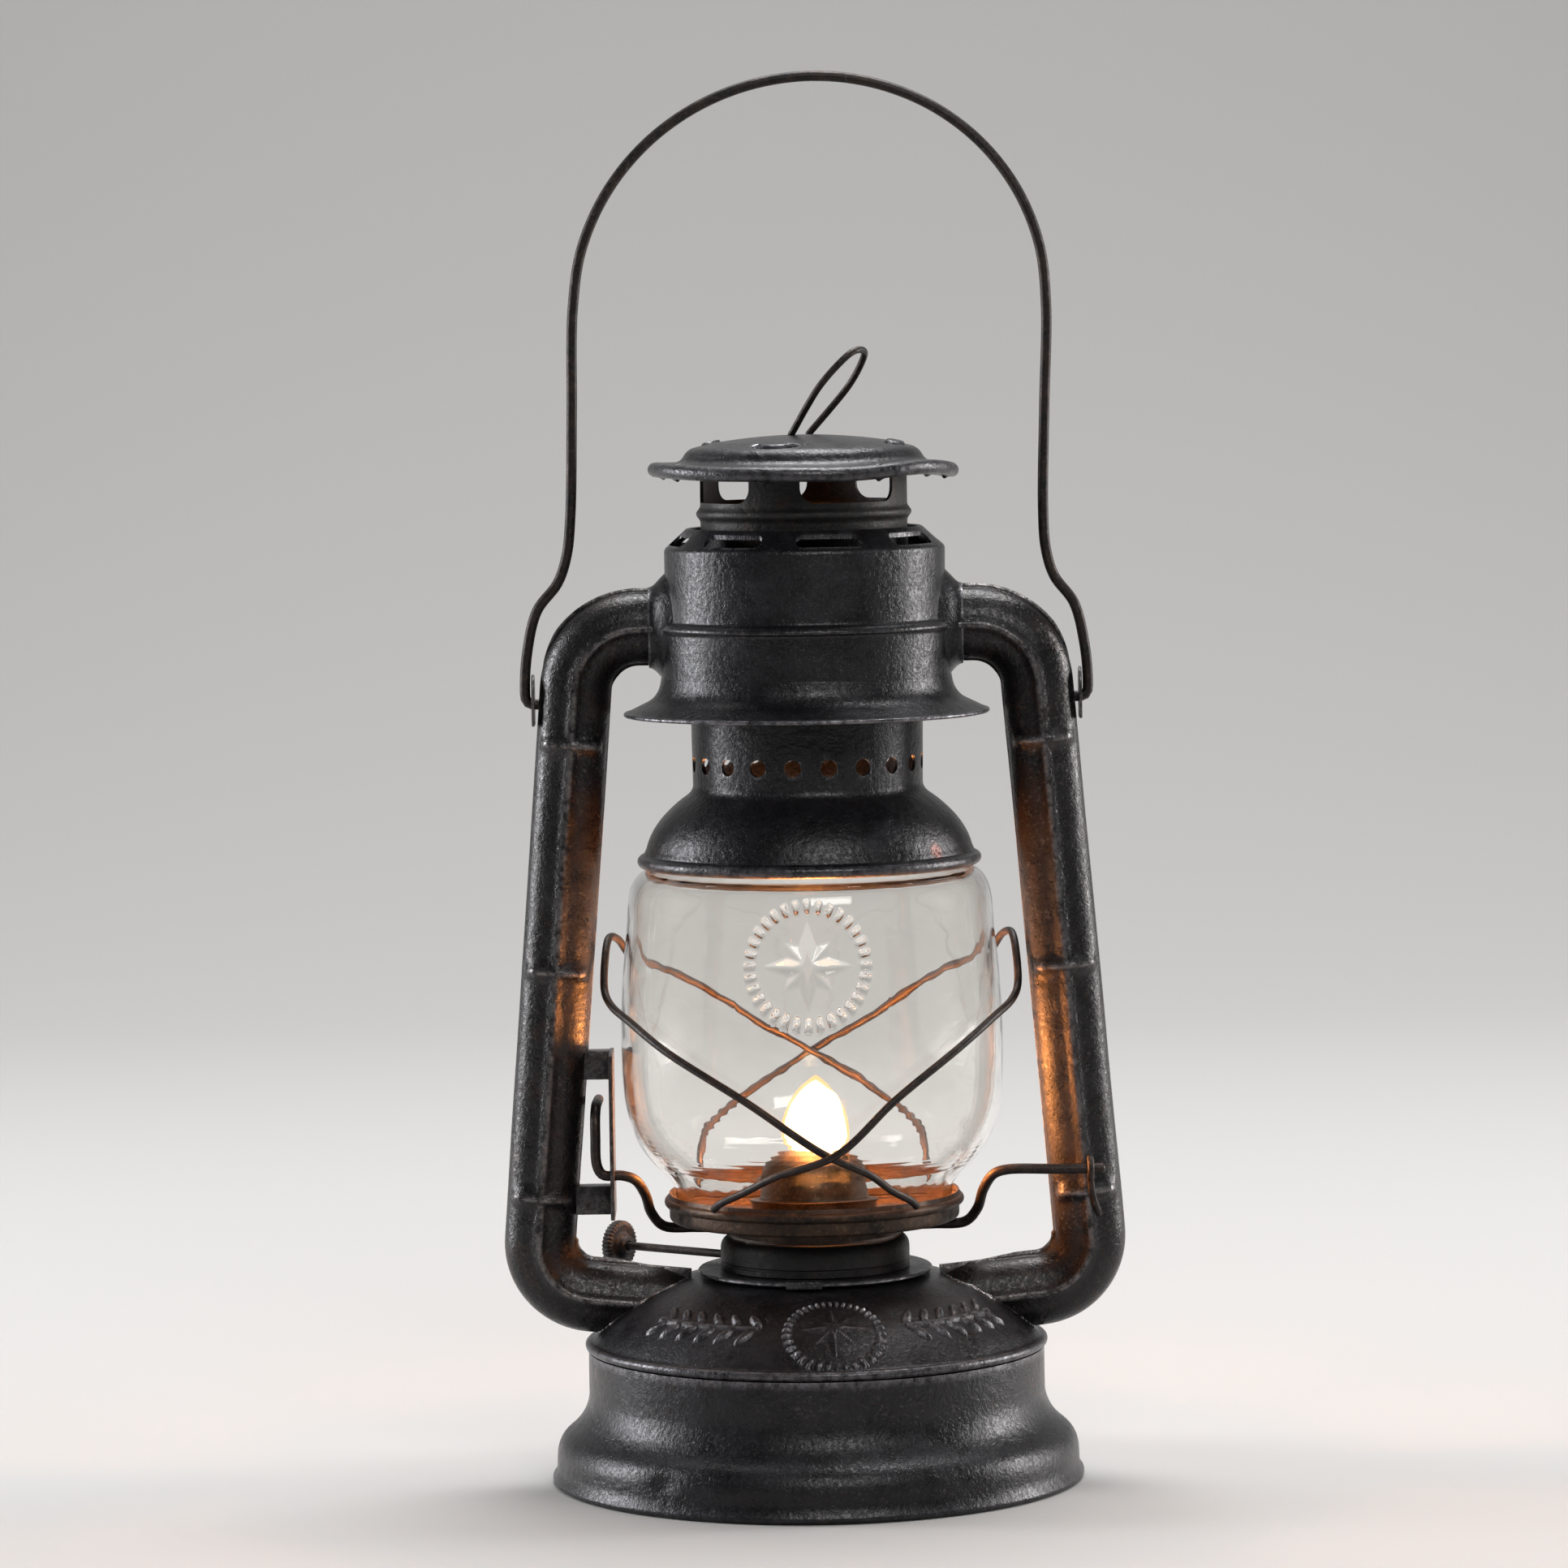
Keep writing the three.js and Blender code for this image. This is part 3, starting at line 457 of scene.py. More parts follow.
def stand_for(node, mesh, material=None, smooth=38, worn=1.0):
    """Shows the mesh in place of a CAD node, on that node's body and in its slot's finish."""
    thing = show(node + "_fine", mesh, material or FINISH[SLOT[node]], smooth, worn)
    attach(thing, BODY[node])
    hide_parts(node)
    return thing


def add_trim(name, mesh, node, material=None, smooth=38, worn=1.0):
    """Shows a detail that goes with a CAD node, on its body and in its slot's finish."""
    thing = show(name, mesh, material or FINISH[SLOT[node]], smooth, worn)
    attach(thing, BODY[node])
    return thing


def handmade(amount, phase=0.0):
    """A slow unevenness of pressed sheet, as a change for moved()."""
    def change(p):
        x, y, z = p.T
        wave = np.sin(x / 9 + y / 13 + phase) * np.sin(z / 11 + 1.7 * phase)
        wave += 0.6 * np.sin(x / 5.1 - y / 6.3 + 2.2 + phase) * np.sin(z / 6.7 + y / 8 + phase)
        reach = np.maximum(np.hypot(x, y), 1)
        push = amount * wave / reach
        return np.stack([x + x * push, y + y * push, z], -1)
    return change


# ---------------------------------------------------------------- materials
class Shading:
    """A material's node tree, with short calls for the nodes that the finishes share."""

    def __init__(self, name):
        self.material = bpy.data.materials.new(name)
        self.material.use_nodes = True
        self.tree = self.material.node_tree
        self.tree.nodes.clear()
        self.shader = self.tree.nodes.new("ShaderNodeBsdfPrincipled")
        output = self.tree.nodes.new("ShaderNodeOutputMaterial")
        self.tree.links.new(self.shader.outputs["BSDF"], output.inputs["Surface"])
        self.places = self.tree.nodes.new("ShaderNodeTexCoord").outputs["Object"]

    def put(self, socket, value):
        if isinstance(value, bpy.types.NodeSocket):
            self.tree.links.new(value, socket)
        else:
            socket.default_value = value

    def set(self, **inputs):
        for name, value in inputs.items():
            self.put(self.shader.inputs[name.replace("_", " ")], value)

    def noise(self, size, detail=3.0, roughness=0.6, stretch=(1, 1, 1), warp=0.0):
        """Grey noise whose features are about size millimetres across."""
        mapping = self.tree.nodes.new("ShaderNodeMapping")
        mapping.inputs["Scale"].default_value = stretch
        self.tree.links.new(self.places, mapping.inputs["Vector"])
        texture = self.tree.nodes.new("ShaderNodeTexNoise")
        texture.inputs["Scale"].default_value = 1 / (size * MM)
        texture.inputs["Detail"].default_value = detail
        texture.inputs["Roughness"].default_value = roughness
        texture.inputs["Distortion"].default_value = warp
        self.tree.links.new(mapping.outputs["Vector"], texture.inputs["Vector"])
        return texture.outputs["Fac"]

    def ramp(self, value, stops):
        """Colours or greys along a value, as (position, colour) pairs."""
        node = self.tree.nodes.new("ShaderNodeValToRGB")
        self.put(node.inputs["Fac"], value)
        elements = node.color_ramp.elements
        while len(elements) < len(stops):
            elements.new(0.5)
        for element, (position, colour) in zip(elements, stops):
            element.position = position
            element.color = (colour,) * 3 + (1,) if isinstance(colour, (int, float)) else (*colour, 1)
        return node.outputs["Color"]

    def maths(self, operation, a, b, clamp=False):
        node = self.tree.nodes.new("ShaderNodeMath")
        node.operation = operation
        node.use_clamp = clamp
        self.put(node.inputs[0], a)
        self.put(node.inputs[1], b)
        return node.outputs[0]

    def mix(self, share, a, b):
        node = self.tree.nodes.new("ShaderNodeMix")
        node.data_type = "RGBA"
        self.put(node.inputs["Factor"], share)
        for socket, value in ((node.inputs[6], a), (node.inputs[7], b)):
            self.put(socket, value if isinstance(value, bpy.types.NodeSocket) else (*value, 1))
        return node.outputs[2]

    def attribute(self, name):
        node = self.tree.nodes.new("ShaderNodeAttribute")
        node.attribute_name = name
        return node.outputs["Fac"]

    def part_of_places(self, axis):
        node = self.tree.nodes.new("ShaderNodeSeparateXYZ")
        self.tree.links.new(self.places, node.inputs[0])
        return node.outputs[axis]

    def bump(self, height, depth, strength=1.0, below=None):
        """Adds bumps of a depth in millimetres on top of the bumps below."""
        node = self.tree.nodes.new("ShaderNodeBump")
        node.inputs["Strength"].default_value = strength
        node.inputs["Distance"].default_value = depth * MM
        self.put(node.inputs["Height"], height)
        if below is not None:
            self.put(node.inputs["Normal"], below)
        return node.outputs["Normal"]


def blackened_steel(name, dark, bare, gloss, wear, rust=0.0, pits=1.0):
    """Blackened sheet steel: mottled, finely pitted, rubbed bare in specks and on its edges."""
    s = Shading(name)
    mottle = s.noise(26, 4, 0.65)
    cloud = s.noise(7, 4, 0.6, warp=0.4)
    grain = s.noise(0.62, 2, 0.7)
    speck = s.noise(0.95, 3, 0.75)
    scratch = s.noise(1.1, 2, 0.6, stretch=(1, 1, 0.12))
    edge = s.maths("MULTIPLY", s.attribute("wear"), s.ramp(s.noise(2.4, 3, 0.7), [(0.36, 0), (0.6, 1)]))
    patches = s.ramp(mottle, [(0.42, 0), (0.66, 1)])
    rubbed = s.maths("MULTIPLY", s.ramp(speck, [(0.56, 0), (0.66, 1)]), patches)
    worn = s.maths("MULTIPLY", s.maths("ADD", edge, s.maths("MULTIPLY", rubbed, 0.3)), wear, clamp=True)
    ground = s.mix(s.ramp(cloud, [(0.3, 0), (0.72, 1)]), dark, [c * 2.1 + 0.003 for c in dark])
    if rust:
        rusty = s.ramp(s.noise(11, 5, 0.72, warp=0.8), [(0.58 - 0.1 * rust, 0), (0.74, 1)])
        rusty = s.maths("MULTIPLY", rusty, rust, clamp=True)
        ground = s.mix(rusty, ground, (0.085, 0.032, 0.012))
    ground = s.mix(s.maths("MULTIPLY", s.attribute("rust"), s.ramp(speck, [(0.3, 0), (0.55, 1)])),
                   ground, (0.19, 0.035, 0.012))
    colour = s.mix(worn, ground, bare)
    dull = s.ramp(s.maths("ADD", s.maths("MULTIPLY", grain, 0.5), s.maths("MULTIPLY", cloud, 0.5)),
                  [(0.32, gloss - 0.08), (0.66, gloss + 0.12)])
    dull = s.mix(s.maths("MULTIPLY", worn, 0.6), dull, (gloss - 0.06,) * 3)
    fine = s.bump(grain, 0.05 * pits)
    pitted = s.bump(s.ramp(speck, [(0.3, 0), (0.5, 1)]), 0.045 * pits, below=fine)
    drawn = s.bump(scratch, 0.015, below=pitted)
    metal = s.maths("ADD", 0.45, s.maths("MULTIPLY", worn, 0.5))
    s.set(Base_Color=colour, Roughness=dull, Metallic=metal, Specular_IOR_Level=0.55)
    peel = s.bump(s.noise(1.7, 2, 0.55), 0.16 * pits, below=drawn)
    s.set(Normal=s.bump(cloud, 0.16, below=peel))
    return s.material


def drawn_wire(name):
    """Steel wire: dull brown-black, with drawing lines and freckles of rust."""
    s = Shading(name)
    blotch = s.noise(4.5, 4, 0.7)
    freckle = s.noise(0.8, 3, 0.7)
    ground = s.mix(s.ramp(blotch, [(0.36, 0), (0.66, 1)]), (0.012, 0.011, 0.012), (0.036, 0.025, 0.02))
    bare = s.ramp(freckle, [(0.57, 0), (0.68, 1)])
    s.set(Base_Color=s.mix(s.maths("MULTIPLY", bare, 0.25), ground, (0.17, 0.15, 0.14)))
    s.set(Roughness=s.ramp(freckle, [(0.35, 0.36), (0.7, 0.62)]), Metallic=0.65)
    s.set(Normal=s.bump(blotch, 0.1, below=s.bump(freckle, 0.09)))
    return s.material


def sooted_steel():
    """Steel browned by heat, with matt soot in cloudy patches."""
    s = Shading("sooted_steel")
    cloud = s.noise(9, 5, 0.7, warp=0.6)
    fleck = s.noise(1.6, 4, 0.75)
    heat = s.mix(s.ramp(cloud, [(0.36, 0), (0.64, 1)]), (0.009, 0.007, 0.006), (0.05, 0.026, 0.014))
    s.set(Base_Color=s.mix(s.ramp(fleck, [(0.54, 0), (0.7, 0.7)]), heat, (0.11, 0.068, 0.04)))
    s.set(Roughness=s.ramp(cloud, [(0.3, 0.7), (0.7, 0.36)]), Metallic=0.6)
    s.set(Normal=s.bump(cloud, 0.35, below=s.bump(fleck, 0.14)))
    return s.material


def smoked_brass():
    """Burner brass, dulled and smoked dark, mottled in cloudy patches with brighter flecks."""
    s = Shading("smoked_brass")
    cloud = s.noise(5, 4, 0.65)
    fleck = s.noise(0.9, 3, 0.7)
    brass = s.mix(s.ramp(cloud, [(0.35, 0), (0.65, 1)]), (0.010, 0.008, 0.006), (0.045, 0.032, 0.02))
    s.set(Base_Color=s.mix(s.ramp(fleck, [(0.56, 0), (0.7, 0.5)]), brass, (0.13, 0.09, 0.05)))
    s.set(Roughness=s.ramp(fleck, [(0.3, 0.34), (0.7, 0.58)]), Metallic=0.9)
    s.set(Normal=s.bump(cloud, 0.12, below=s.bump(fleck, 0.06)))
    return s.material


def lamp_glass():
    """Clear blown glass: slightly wavy, with a faint smoke film in patches."""
    s = Shading("lamp_glass")
    wave = s.noise(17, 2, 0.5)
    film = s.noise(6, 4, 0.65)
    s.set(Base_Color=s.ramp(film, [(0.3, (0.97, 0.955, 0.925)), (0.7, (0.985, 0.975, 0.955))]))
    s.set(Roughness=s.ramp(film, [(0.45, 0.0), (0.75, 0.05)]))
    s.set(Transmission_Weight=1.0, IOR=1.45, Normal=s.bump(wave, 0.25))
    return s.material


def wick_cotton():
    """Woven cotton, charred at its top edge."""
    s = Shading("wick_cotton")
    wave = s.tree.nodes.new("ShaderNodeTexWave")
    wave.inputs["Scale"].default_value = 420
    wave.inputs["Distortion"].default_value = 3
    s.tree.links.new(s.places, wave.inputs["Vector"])
    weave = wave.outputs["Fac"]
    height = s.maths("ADD", s.part_of_places("Z"), s.maths("MULTIPLY", s.noise(1.5), 0.0015))
    char = s.maths("MULTIPLY", s.maths("SUBTRACT", height, (WICK_TOP - 1.6) * MM), 700, clamp=True)
    cloth = s.mix(weave, (0.40, 0.31, 0.20), (0.62, 0.52, 0.38))
    s.set(Base_Color=s.mix(char, cloth, (0.012, 0.010, 0.009)), Roughness=0.95)
    s.set(Normal=s.bump(weave, 0.25, below=s.bump(s.noise(0.5), 0.12)))
    return s.material


def gasket_cork():
    s = Shading("gasket_cork")
    cells = s.tree.nodes.new("ShaderNodeTexVoronoi")
    cells.inputs["Scale"].default_value = 900
    s.tree.links.new(s.places, cells.inputs["Vector"])
    grain = cells.outputs["Distance"]
    s.set(Base_Color=s.mix(grain, (0.10, 0.055, 0.028), (0.42, 0.27, 0.15)), Roughness=0.9)
    s.set(Normal=s.bump(grain, 0.15))
    return s.material


def flame_light(name, colour, strength, opacity):
    """Glowing gas: its own light, and no surface of its own."""
    s = Shading(name)
    s.set(Base_Color=(0, 0, 0, 1), Roughness=1.0, Specular_IOR_Level=0.0, Alpha=opacity)
    s.set(Emission_Color=(*colour, 1), Emission_Strength=strength)
    return s.material


FINISH = {
    "tank_steel": blackened_steel("tank_steel", (0.0068, 0.0063, 0.0078), (0.30, 0.29, 0.31), 0.31, 0.7),
    "tube_steel": blackened_steel("tube_steel", (0.0066, 0.0058, 0.0064), (0.34, 0.32, 0.32),
                                  0.29, 0.95, rust=0.2),
    "sooted_steel": sooted_steel(),
    "wire_steel": drawn_wire("wire_steel"),
    "burner_brass": smoked_brass(),
    "wick_cotton": wick_cotton(),
    "gasket_cork": gasket_cork(),
    "globe_glass": lamp_glass(),
}
# The crown, the guide ring, the burner basket and the knob are blacker and duller than the rest.
SMOKED = blackened_steel("smoked_steel", (0.006, 0.0055, 0.0055), (0.09, 0.08, 0.08), 0.52, 0.3, 0.3)


# ---------------------------------------------------------------- fount
def dome_line(lift=0.0):
    return outline([
        (DOME_FOOT.x, DOME_FOOT.y + lift),
        (DOME_FOOT.x - 6.5, 42.4 + lift, DOME_MIDDLE.x, DOME_MIDDLE.y + lift),
        (33, 49.7 + lift, DOME_TOP.x, DOME_TOP.y + lift),
    ], 40)


def dome_height(radius):
    line = dome_line()[::-1]
    return np.interp(radius, [p.x for p in line], [p.y for p in line])


def star(across, along, reach, waist, points, turn=0.0):
    """Height, 0 to 1, of a faceted star at places in its own plane."""
    share = math.pi / points
    angle = np.arctan2(across, along) + turn
    off = np.abs((angle + share) % (2 * share) - share)
    edge = reach * waist * math.sin(share) / (reach * np.sin(off) + waist * np.sin(share - off))
    return np.clip(1 - np.hypot(across, along) / edge, 0, 1)


def ridge(distance, half_width):
    """Height, 0 to 1, of a rounded ridge at a distance from its middle."""
    return np.clip(1 - (distance / half_width) ** 2, 0, 1) ** 0.7


def medallion(across, along, radius, ticks=36):
    """A ring of short ticks round an eight-pointed star, as a height from 0 to 1."""
    off = np.hypot(across, along)
    rose = np.maximum(star(across, along, 0.70 * radius, 0.26 * radius, 4),
                      0.8 * star(across, along, 0.52 * radius, 0.26 * radius, 4, math.pi / 4))
    spoke = np.clip(np.cos(ticks * np.arctan2(across, along)) + 0.35, 0, 1)
    border = ridge(off - 0.91 * radius, 0.10 * radius) * spoke
    return np.maximum(0.8 * border, np.clip(1.5 * rose, 0, 1))


def twig_band(across, radius, twig):
    """A leafy twig on both sides of the front, as a height from 0 to 1."""
    first, last = twig["first"], twig["last"]
    length, width = twig["leaf"]
    lean = math.radians(twig["lean"])
    turn = np.degrees(np.abs(across))
    rise = radius - twig["radius"]
    height = 0.7 * ridge(rise, 0.8) * np.clip(np.minimum(turn - first, last - turn), 0, 1)
    reach = np.radians(turn - first) * twig["radius"]
    step = math.radians(last - first) * twig["radius"] / twig["pairs"]
    for k in range(twig["pairs"]):
        for side in (-1, 1):
            u = reach - (k + 0.5 + 0.12 * side) * step
            v = side * rise - 2.1
            along = u * math.cos(lean) + v * math.sin(lean)
            over = u * math.sin(lean) - v * math.cos(lean)
            inside = (along / length) ** 2 + (over / width) ** 2
            height = np.maximum(height, np.clip(1.3 * (1 - inside), 0, 1) ** 0.6)
    return height


def dome_relief(places):
    """The pressed star and twigs on the front of the dome."""
    x, y, z = places.T
    radius, angle = np.hypot(x, y), np.arctan2(x, -y)
    outer = (z > dome_height(radius) - 0.25) & (radius > 29) & (radius < 54)
    across, middle = angle - math.radians(DOME_STAR["turn"]), DOME_STAR["radius"]
    height = medallion(across * middle, (radius - middle) * 1.25, DOME_STAR["size"])
    height = np.maximum(height, 0.9 * twig_band(across, radius, DOME_TWIG))
    lift = np.where(outer, height, 0)
    return np.stack([x + 0.35 * lift * np.sin(angle), y - 0.35 * lift * np.cos(angle), z + 0.85 * lift], -1)


def front_dense_angles(front=1.25, fine=640, coarse=130):
    """Angles round the axis, close together within the front and wider behind."""
    ahead = np.linspace(-front, front, fine, endpoint=False)
    behind = np.linspace(front, 2 * math.pi - front, coarse, endpoint=False)
    return np.concatenate([ahead, behind])


def foot_dent(places):
    """The knock in the foot's roll, low on the left."""
    x, y, z = places.T
    angle = np.arctan2(x, -y)
    near = np.exp(-(((angle + 0.62) * FOOT_RADIUS / 3.4) ** 2 + ((z - 7.6) / 2.0) ** 2))
    push = 1 - 0.9 * near / np.maximum(np.hypot(x, y), 1)
    return np.stack([x * push, y * push, z], -1)


def make_fount():
    roll = arc((FOOT_RADIUS - FOOT_ROLL, FOOT_ROLL), FOOT_ROLL, -90, 24)
    wall = outline([
        (FOOT_RADIUS - 1.05, 3),
        (FOOT_RADIUS - 1.2, 6.6),
        (FOOT_RADIUS - 1.3, 10.4, FOOT_RADIUS - 4, 12.5),
        (56.1, 16.1, TANK_RADIUS, 21.6),
        (TANK_RADIUS, TANK_TOP),
    ])
    loop = sheet_loop([Vector((FOOT_RADIUS - 4, 0)), *roll, *wall])
    body = moved(revolve(loop, 256), handmade(0.07, 0.6))
    stand_for("fount_body", moved(body, foot_dent))
    seam = arc((TANK_SEAM["radius"], TANK_SEAM["height"]), TANK_SEAM["bead"], -80, 90)
    neck = [Vector((DOME_FOOT.x + 0.15, 34.62))]
    grid = turned_grid(subdivided(sheet_loop(seam + neck + dome_line()[1:]), 0.55), front_dense_angles())
    dome = moved(skin(grid, True), dome_relief)
    bore = revolve(outline([(FILLER_BORE, -12), (FILLER_BORE, 12), (0, 12), (0, -12)]), 48)
    stand_for("fount_top", carved(dome, [moved(bore, on_filler)]), smooth=50)
    low, high = span("fount_bottom")
    base = outline([
        (0, high.z - 1), (high.x - 9, high.z - 1), (high.x - 8, high.z - 1, high.x - 6.5, low.z + 0.4),
        (high.x - 5.5, low.z, high.x - 4, low.z), (high.x, low.z),
    ], 6)
    top = [p + Vector((0, 1)) for p in base]
    stand_for("fount_bottom", revolve(base + top[::-1], 160))
    low, high = span("fount_collar")
    stand_for("fount_collar", ring(FOUNT_COLLAR_BORE, high.x, low.z, high.z, 0.3))
    tab = block((-7.2, -high.x - 0.6, high.z - 1.4), (1.4, -high.x + 3, high.z + 0.35), 0.2)
    add_trim("bayonet_tab", tab, "fount_collar", worn=0.3)


def on_filler(places):
    """From the filler's own axis to its place on the back of the dome."""
    return turned_about_x(FILLER_TILT)(places) + np.array(FILLER_PLACE)


def knurled(count, radius, depth, low, high):
    """Cuts a milled edge of grooves into what lies outside a radius, between two heights."""
    def change(p):
        x, y, z = p.T
        reach = np.hypot(x, y)
        inside = (reach > radius) & (z > low) & (z < high)
        groove = depth * (0.5 + 0.5 * np.cos(count * np.arctan2(y, x)))
        push = np.where(inside, 1 - groove / np.maximum(reach, 1e-6), 1)
        return np.stack([x * push, y * push, z], -1)
    return change


def make_filler():
    neck = ring(8.3, 9.5, -5, 5.5, 0.3, 72)
    stand_for("filler_neck", moved(neck, on_filler))
    stand_for("filler_gasket", moved(ring(7.6, 9.5, 5.8, 6.8, 0.2, 72), on_filler))
    line = outline([(9.8, 1.4), (11.7, 1.4), (12.2, 1.4, 12.2, 2), (12.2, 7.4), (12.2, 8.6, 11, 8.6),
                    (9.2, 8.6), (8.4, 8.7, 8.1, 9.2), (7.9, 9.4, 7.4, 9.4), (0, 9.4)], 6)
    loop = subdivided(line + [Vector((0, 7.1)), Vector((9.8, 7.1))], 0.7)
    cap = moved(revolve(loop, 240), knurled(60, 11.9, 0.35, 2.2, 7.6))
    stand_for("filler_cap", moved(cap, on_filler), smooth=50)


# ---------------------------------------------------------------- burner
def make_burner():
    turn = turned_about_z(BURNER_TURN)
    low, high = span("burner_basket")
    radius, top = high.x, high.z
    line = outline([(radius, low.z), (radius, low.z + 1.2), (radius - 0.5, low.z + 1.6, radius, low.z + 2),
                    (radius, top - 3.4), (radius, top, radius - 4, top), (13.5, top)], 10)
    hole = wire([(x, SHAFT_OFFSET, SHAFT.z) for x in (-28, -20, -12)], 1.6, 20)
    basket = revolve(sheet_loop(line), 192)
    stand_for("burner_basket", carved(basket, [moved(hole, turn)]), SMOKED)
    low, high = span("burner_throat")
    stand_for("burner_throat", ring(high.x - SHEET, high.x, low.z, high.z, 0.2, 96))
    low, high = span("burner_cone")
    top = high.z - 3.4
    side = outline([
        (high.x, low.z), (13.3, low.z + 0.5), (13, low.z + 1.2), (12.7, top, 4, top), (0, top),
    ], 20)
    cutter = prism(stadium(*CONE_SLOT), low.z + 4, high.z + 2)
    cone = carved(revolve(sheet_loop(side), 128), [cutter])
    stand_for("burner_cone", moved(cone, turn))
    low, high = span("wick_tube")
    outer = prism(stadium(*WICK_TUBE), low.z, high.z)
    core = prism(stadium(WICK_TUBE[0] - 2 * SHEET, WICK_TUBE[1] - 2 * SHEET), low.z, high.z)
    core = moved(core, lambda p: p * (1, 1, 1.2) - (0, 0, 0.1 * (low.z + high.z)))
    window = block((-6, -6, SHAFT.z - 3.6), (6, 0, SHAFT.z + 3.6), 0.4)
    stand_for("wick_tube", moved(carved(outer, [core, window]), turn))


def make_wick():
    turn = turned_about_z(BURNER_TURN)
    low, high = span("wick")[0].z, span("wick")[1].z
    layers = []
    for z in [*np.arange(low, high - 1, 1.5), *np.linspace(high - 1, high, 5)]:
        edge = stadium(*WICK_SIZE)
        loop = spaced([(u, v, 0) for u, v in edge + edge[:1]], 0.45)[:-1]
        fray = 0.22 * np.sin(loop[:, 0] * 5.1 + z * 2.3) * max(0.0, (z - high + 3) / 3)
        shrink = 1 - 0.28 * max(0.0, (z - high + 0.6) / 0.6)
        layers.append(np.stack([loop[:, 0], loop[:, 1] * shrink, z + fray - 0.22 * (z > high - 0.3)], -1))
    stand_for("wick", moved(skin(np.array(layers), False), turn))
    shaft = wire([(x, SHAFT_OFFSET, SHAFT.z) for x in np.arange(*SHAFT_ENDS, 1)], SHAFT_RADIUS, 20)
    stand_for("wick_shaft", moved(shaft, turn))
    line = outline([(1.3, 0.3), (5.0, 0.3), (6.1, 0.3, 6.1, 1.1), (6.1, 2.3), (6.1, 3, 5, 3), (3.4, 2.7),
                    (2.6, 2.8, 2.4, 3.6), (2.4, 4.3), (2.3, 4.6, 2, 4.6), (1.3, 4.6)], 5)
    knob = moved(revolve(subdivided(line, 0.5), 216), knurled(36, 5.2, 0.45, -1, 3.2))
    stand_for("wick_knob", moved(moved(knob, on_shaft_end), turn), SMOKED, smooth=50)


def on_shaft_end(places):
    """From the knob's own axis, upright, to the end of the level shaft."""
    x, y, z = places.T
    return np.stack([z + KNOB_END, y + SHAFT_OFFSET, SHAFT.z - x], -1)


def flame_mesh(grow):
    """A teardrop, wide along the wick and thin across it."""
    rows = []
    low, tall = FLAME["low"] - grow, FLAME["high"] - FLAME["low"] + 2.6 * grow
    around = np.linspace(0, 2 * math.pi, 48, endpoint=False)
    for t in np.linspace(0, 1, 44):
        swell = 0.55 + 0.45 * math.sin(math.pi / 2 * min(t / 0.26, 1))
        taper = max(0.0, 1 - max(0.0, (t - 0.26) / 0.74) ** 2.1) ** 0.8
        width = max((FLAME["width"] / 2 + grow) * swell * taper, 1e-3)
        depth = max((FLAME["depth"] / 2 + grow) * swell * taper, 1e-3)
        x = FLAME["x"] + 0.6 * t + width * np.cos(around)
        rows.append(np.stack([x, depth * np.sin(around), low + tall * t + 0 * around], -1))
    return moved(skin(np.array(rows), False), turned_about_z(BURNER_TURN))


def make_flame():
    """The flame: a white-hot core in a thin orange mantle, and the light that it throws."""
    layers = (
        ("flame_core", 0.0, (1.0, 0.80, 0.48), 5.0, 1.0),
        ("flame_mantle", 0.7, (1.0, 0.45, 0.12), 2.2, 0.4),
    )
    for name, grow, colour, strength, opacity in layers:
        piece = show(name, flame_mesh(grow), flame_light(name, colour, strength, opacity), 38, 0)
        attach(piece, "wick")
        piece.visible_shadow = False
    lamp = bpy.data.objects.new("flame_glow", bpy.data.lights.new("flame_glow", "POINT"))
    lamp.data.energy = 0.62
    lamp.data.color = (1.0, 0.34, 0.08)
    lamp.data.shadow_soft_size = 0.006
    lamp.location = (0.001, 0, 0.090)
    bpy.context.scene.collection.objects.link(lamp)


# ---------------------------------------------------------------- globe carriage
def glass_radius(z):
    line = outline(GLOBE_STOPS)
    if z <= line[0].y:
        return PLATE_BEAD
    return float(np.interp(z, [p.y for p in line], [p.x for p in line]))


def globe_relief(places):
    """The star moulded on the front of the glass."""
    x, y, z = places.T
    radius, angle = np.hypot(x, y), np.arctan2(x, -y)
    line = outline(GLOBE_STOPS)
    surface = np.interp(z, [p.y for p in line], [p.x for p in line])
    outer = (radius > surface - 0.5 * GLASS_WALL) & (np.abs(z - 130) < 22)
    across = (angle - math.radians(GLOBE_STAR["turn"])) * GLOBE_STAR["radius"]
    height = 1.1 * medallion(across, z - GLOBE_STAR["height"], GLOBE_STAR["size"], 32)
    push = 1 + np.where(outer, height, 0) / np.maximum(radius, 1)
    return np.stack([x * push, y * push, z], -1)


def make_globe():
    low = span("globe_plate")[0]
    beads = arc((PLATE_RIM, PLATE_TOP - 2.2), PLATE_BEAD - PLATE_RIM, -75, 75, 12)
    line = outline([
        (21.5, low.z), (21.5, 63), (21.5, 63.6, 22.3, 63.6), (26, 63.6), (27, 63.6, 27.6, 64.1),
        (28.4, 64.5, 29.2, 64.1), (30, 63.6, 31, 63.6), (34, 63.6), (PLATE_RIM, 63.6, PLATE_RIM, 65),
        (PLATE_RIM, PLATE_TOP - 3.5),
    ], 8)
    plate = revolve(sheet_loop(line + beads + [Vector((PLATE_RIM, PLATE_TOP))], 0.7), 200)
    stand_for("globe_plate", moved(plate, handmade(0.12, 2.1)))
    loop = subdivided(sheet_loop(outline(GLOBE_STOPS), GLASS_WALL), 0.6)
    grid = turned_grid(loop, front_dense_angles(0.42, 260, 150))
    globe = stand_for("globe", moved(skin(grid, True), globe_relief), smooth=60)
    globe.visible_shadow = False


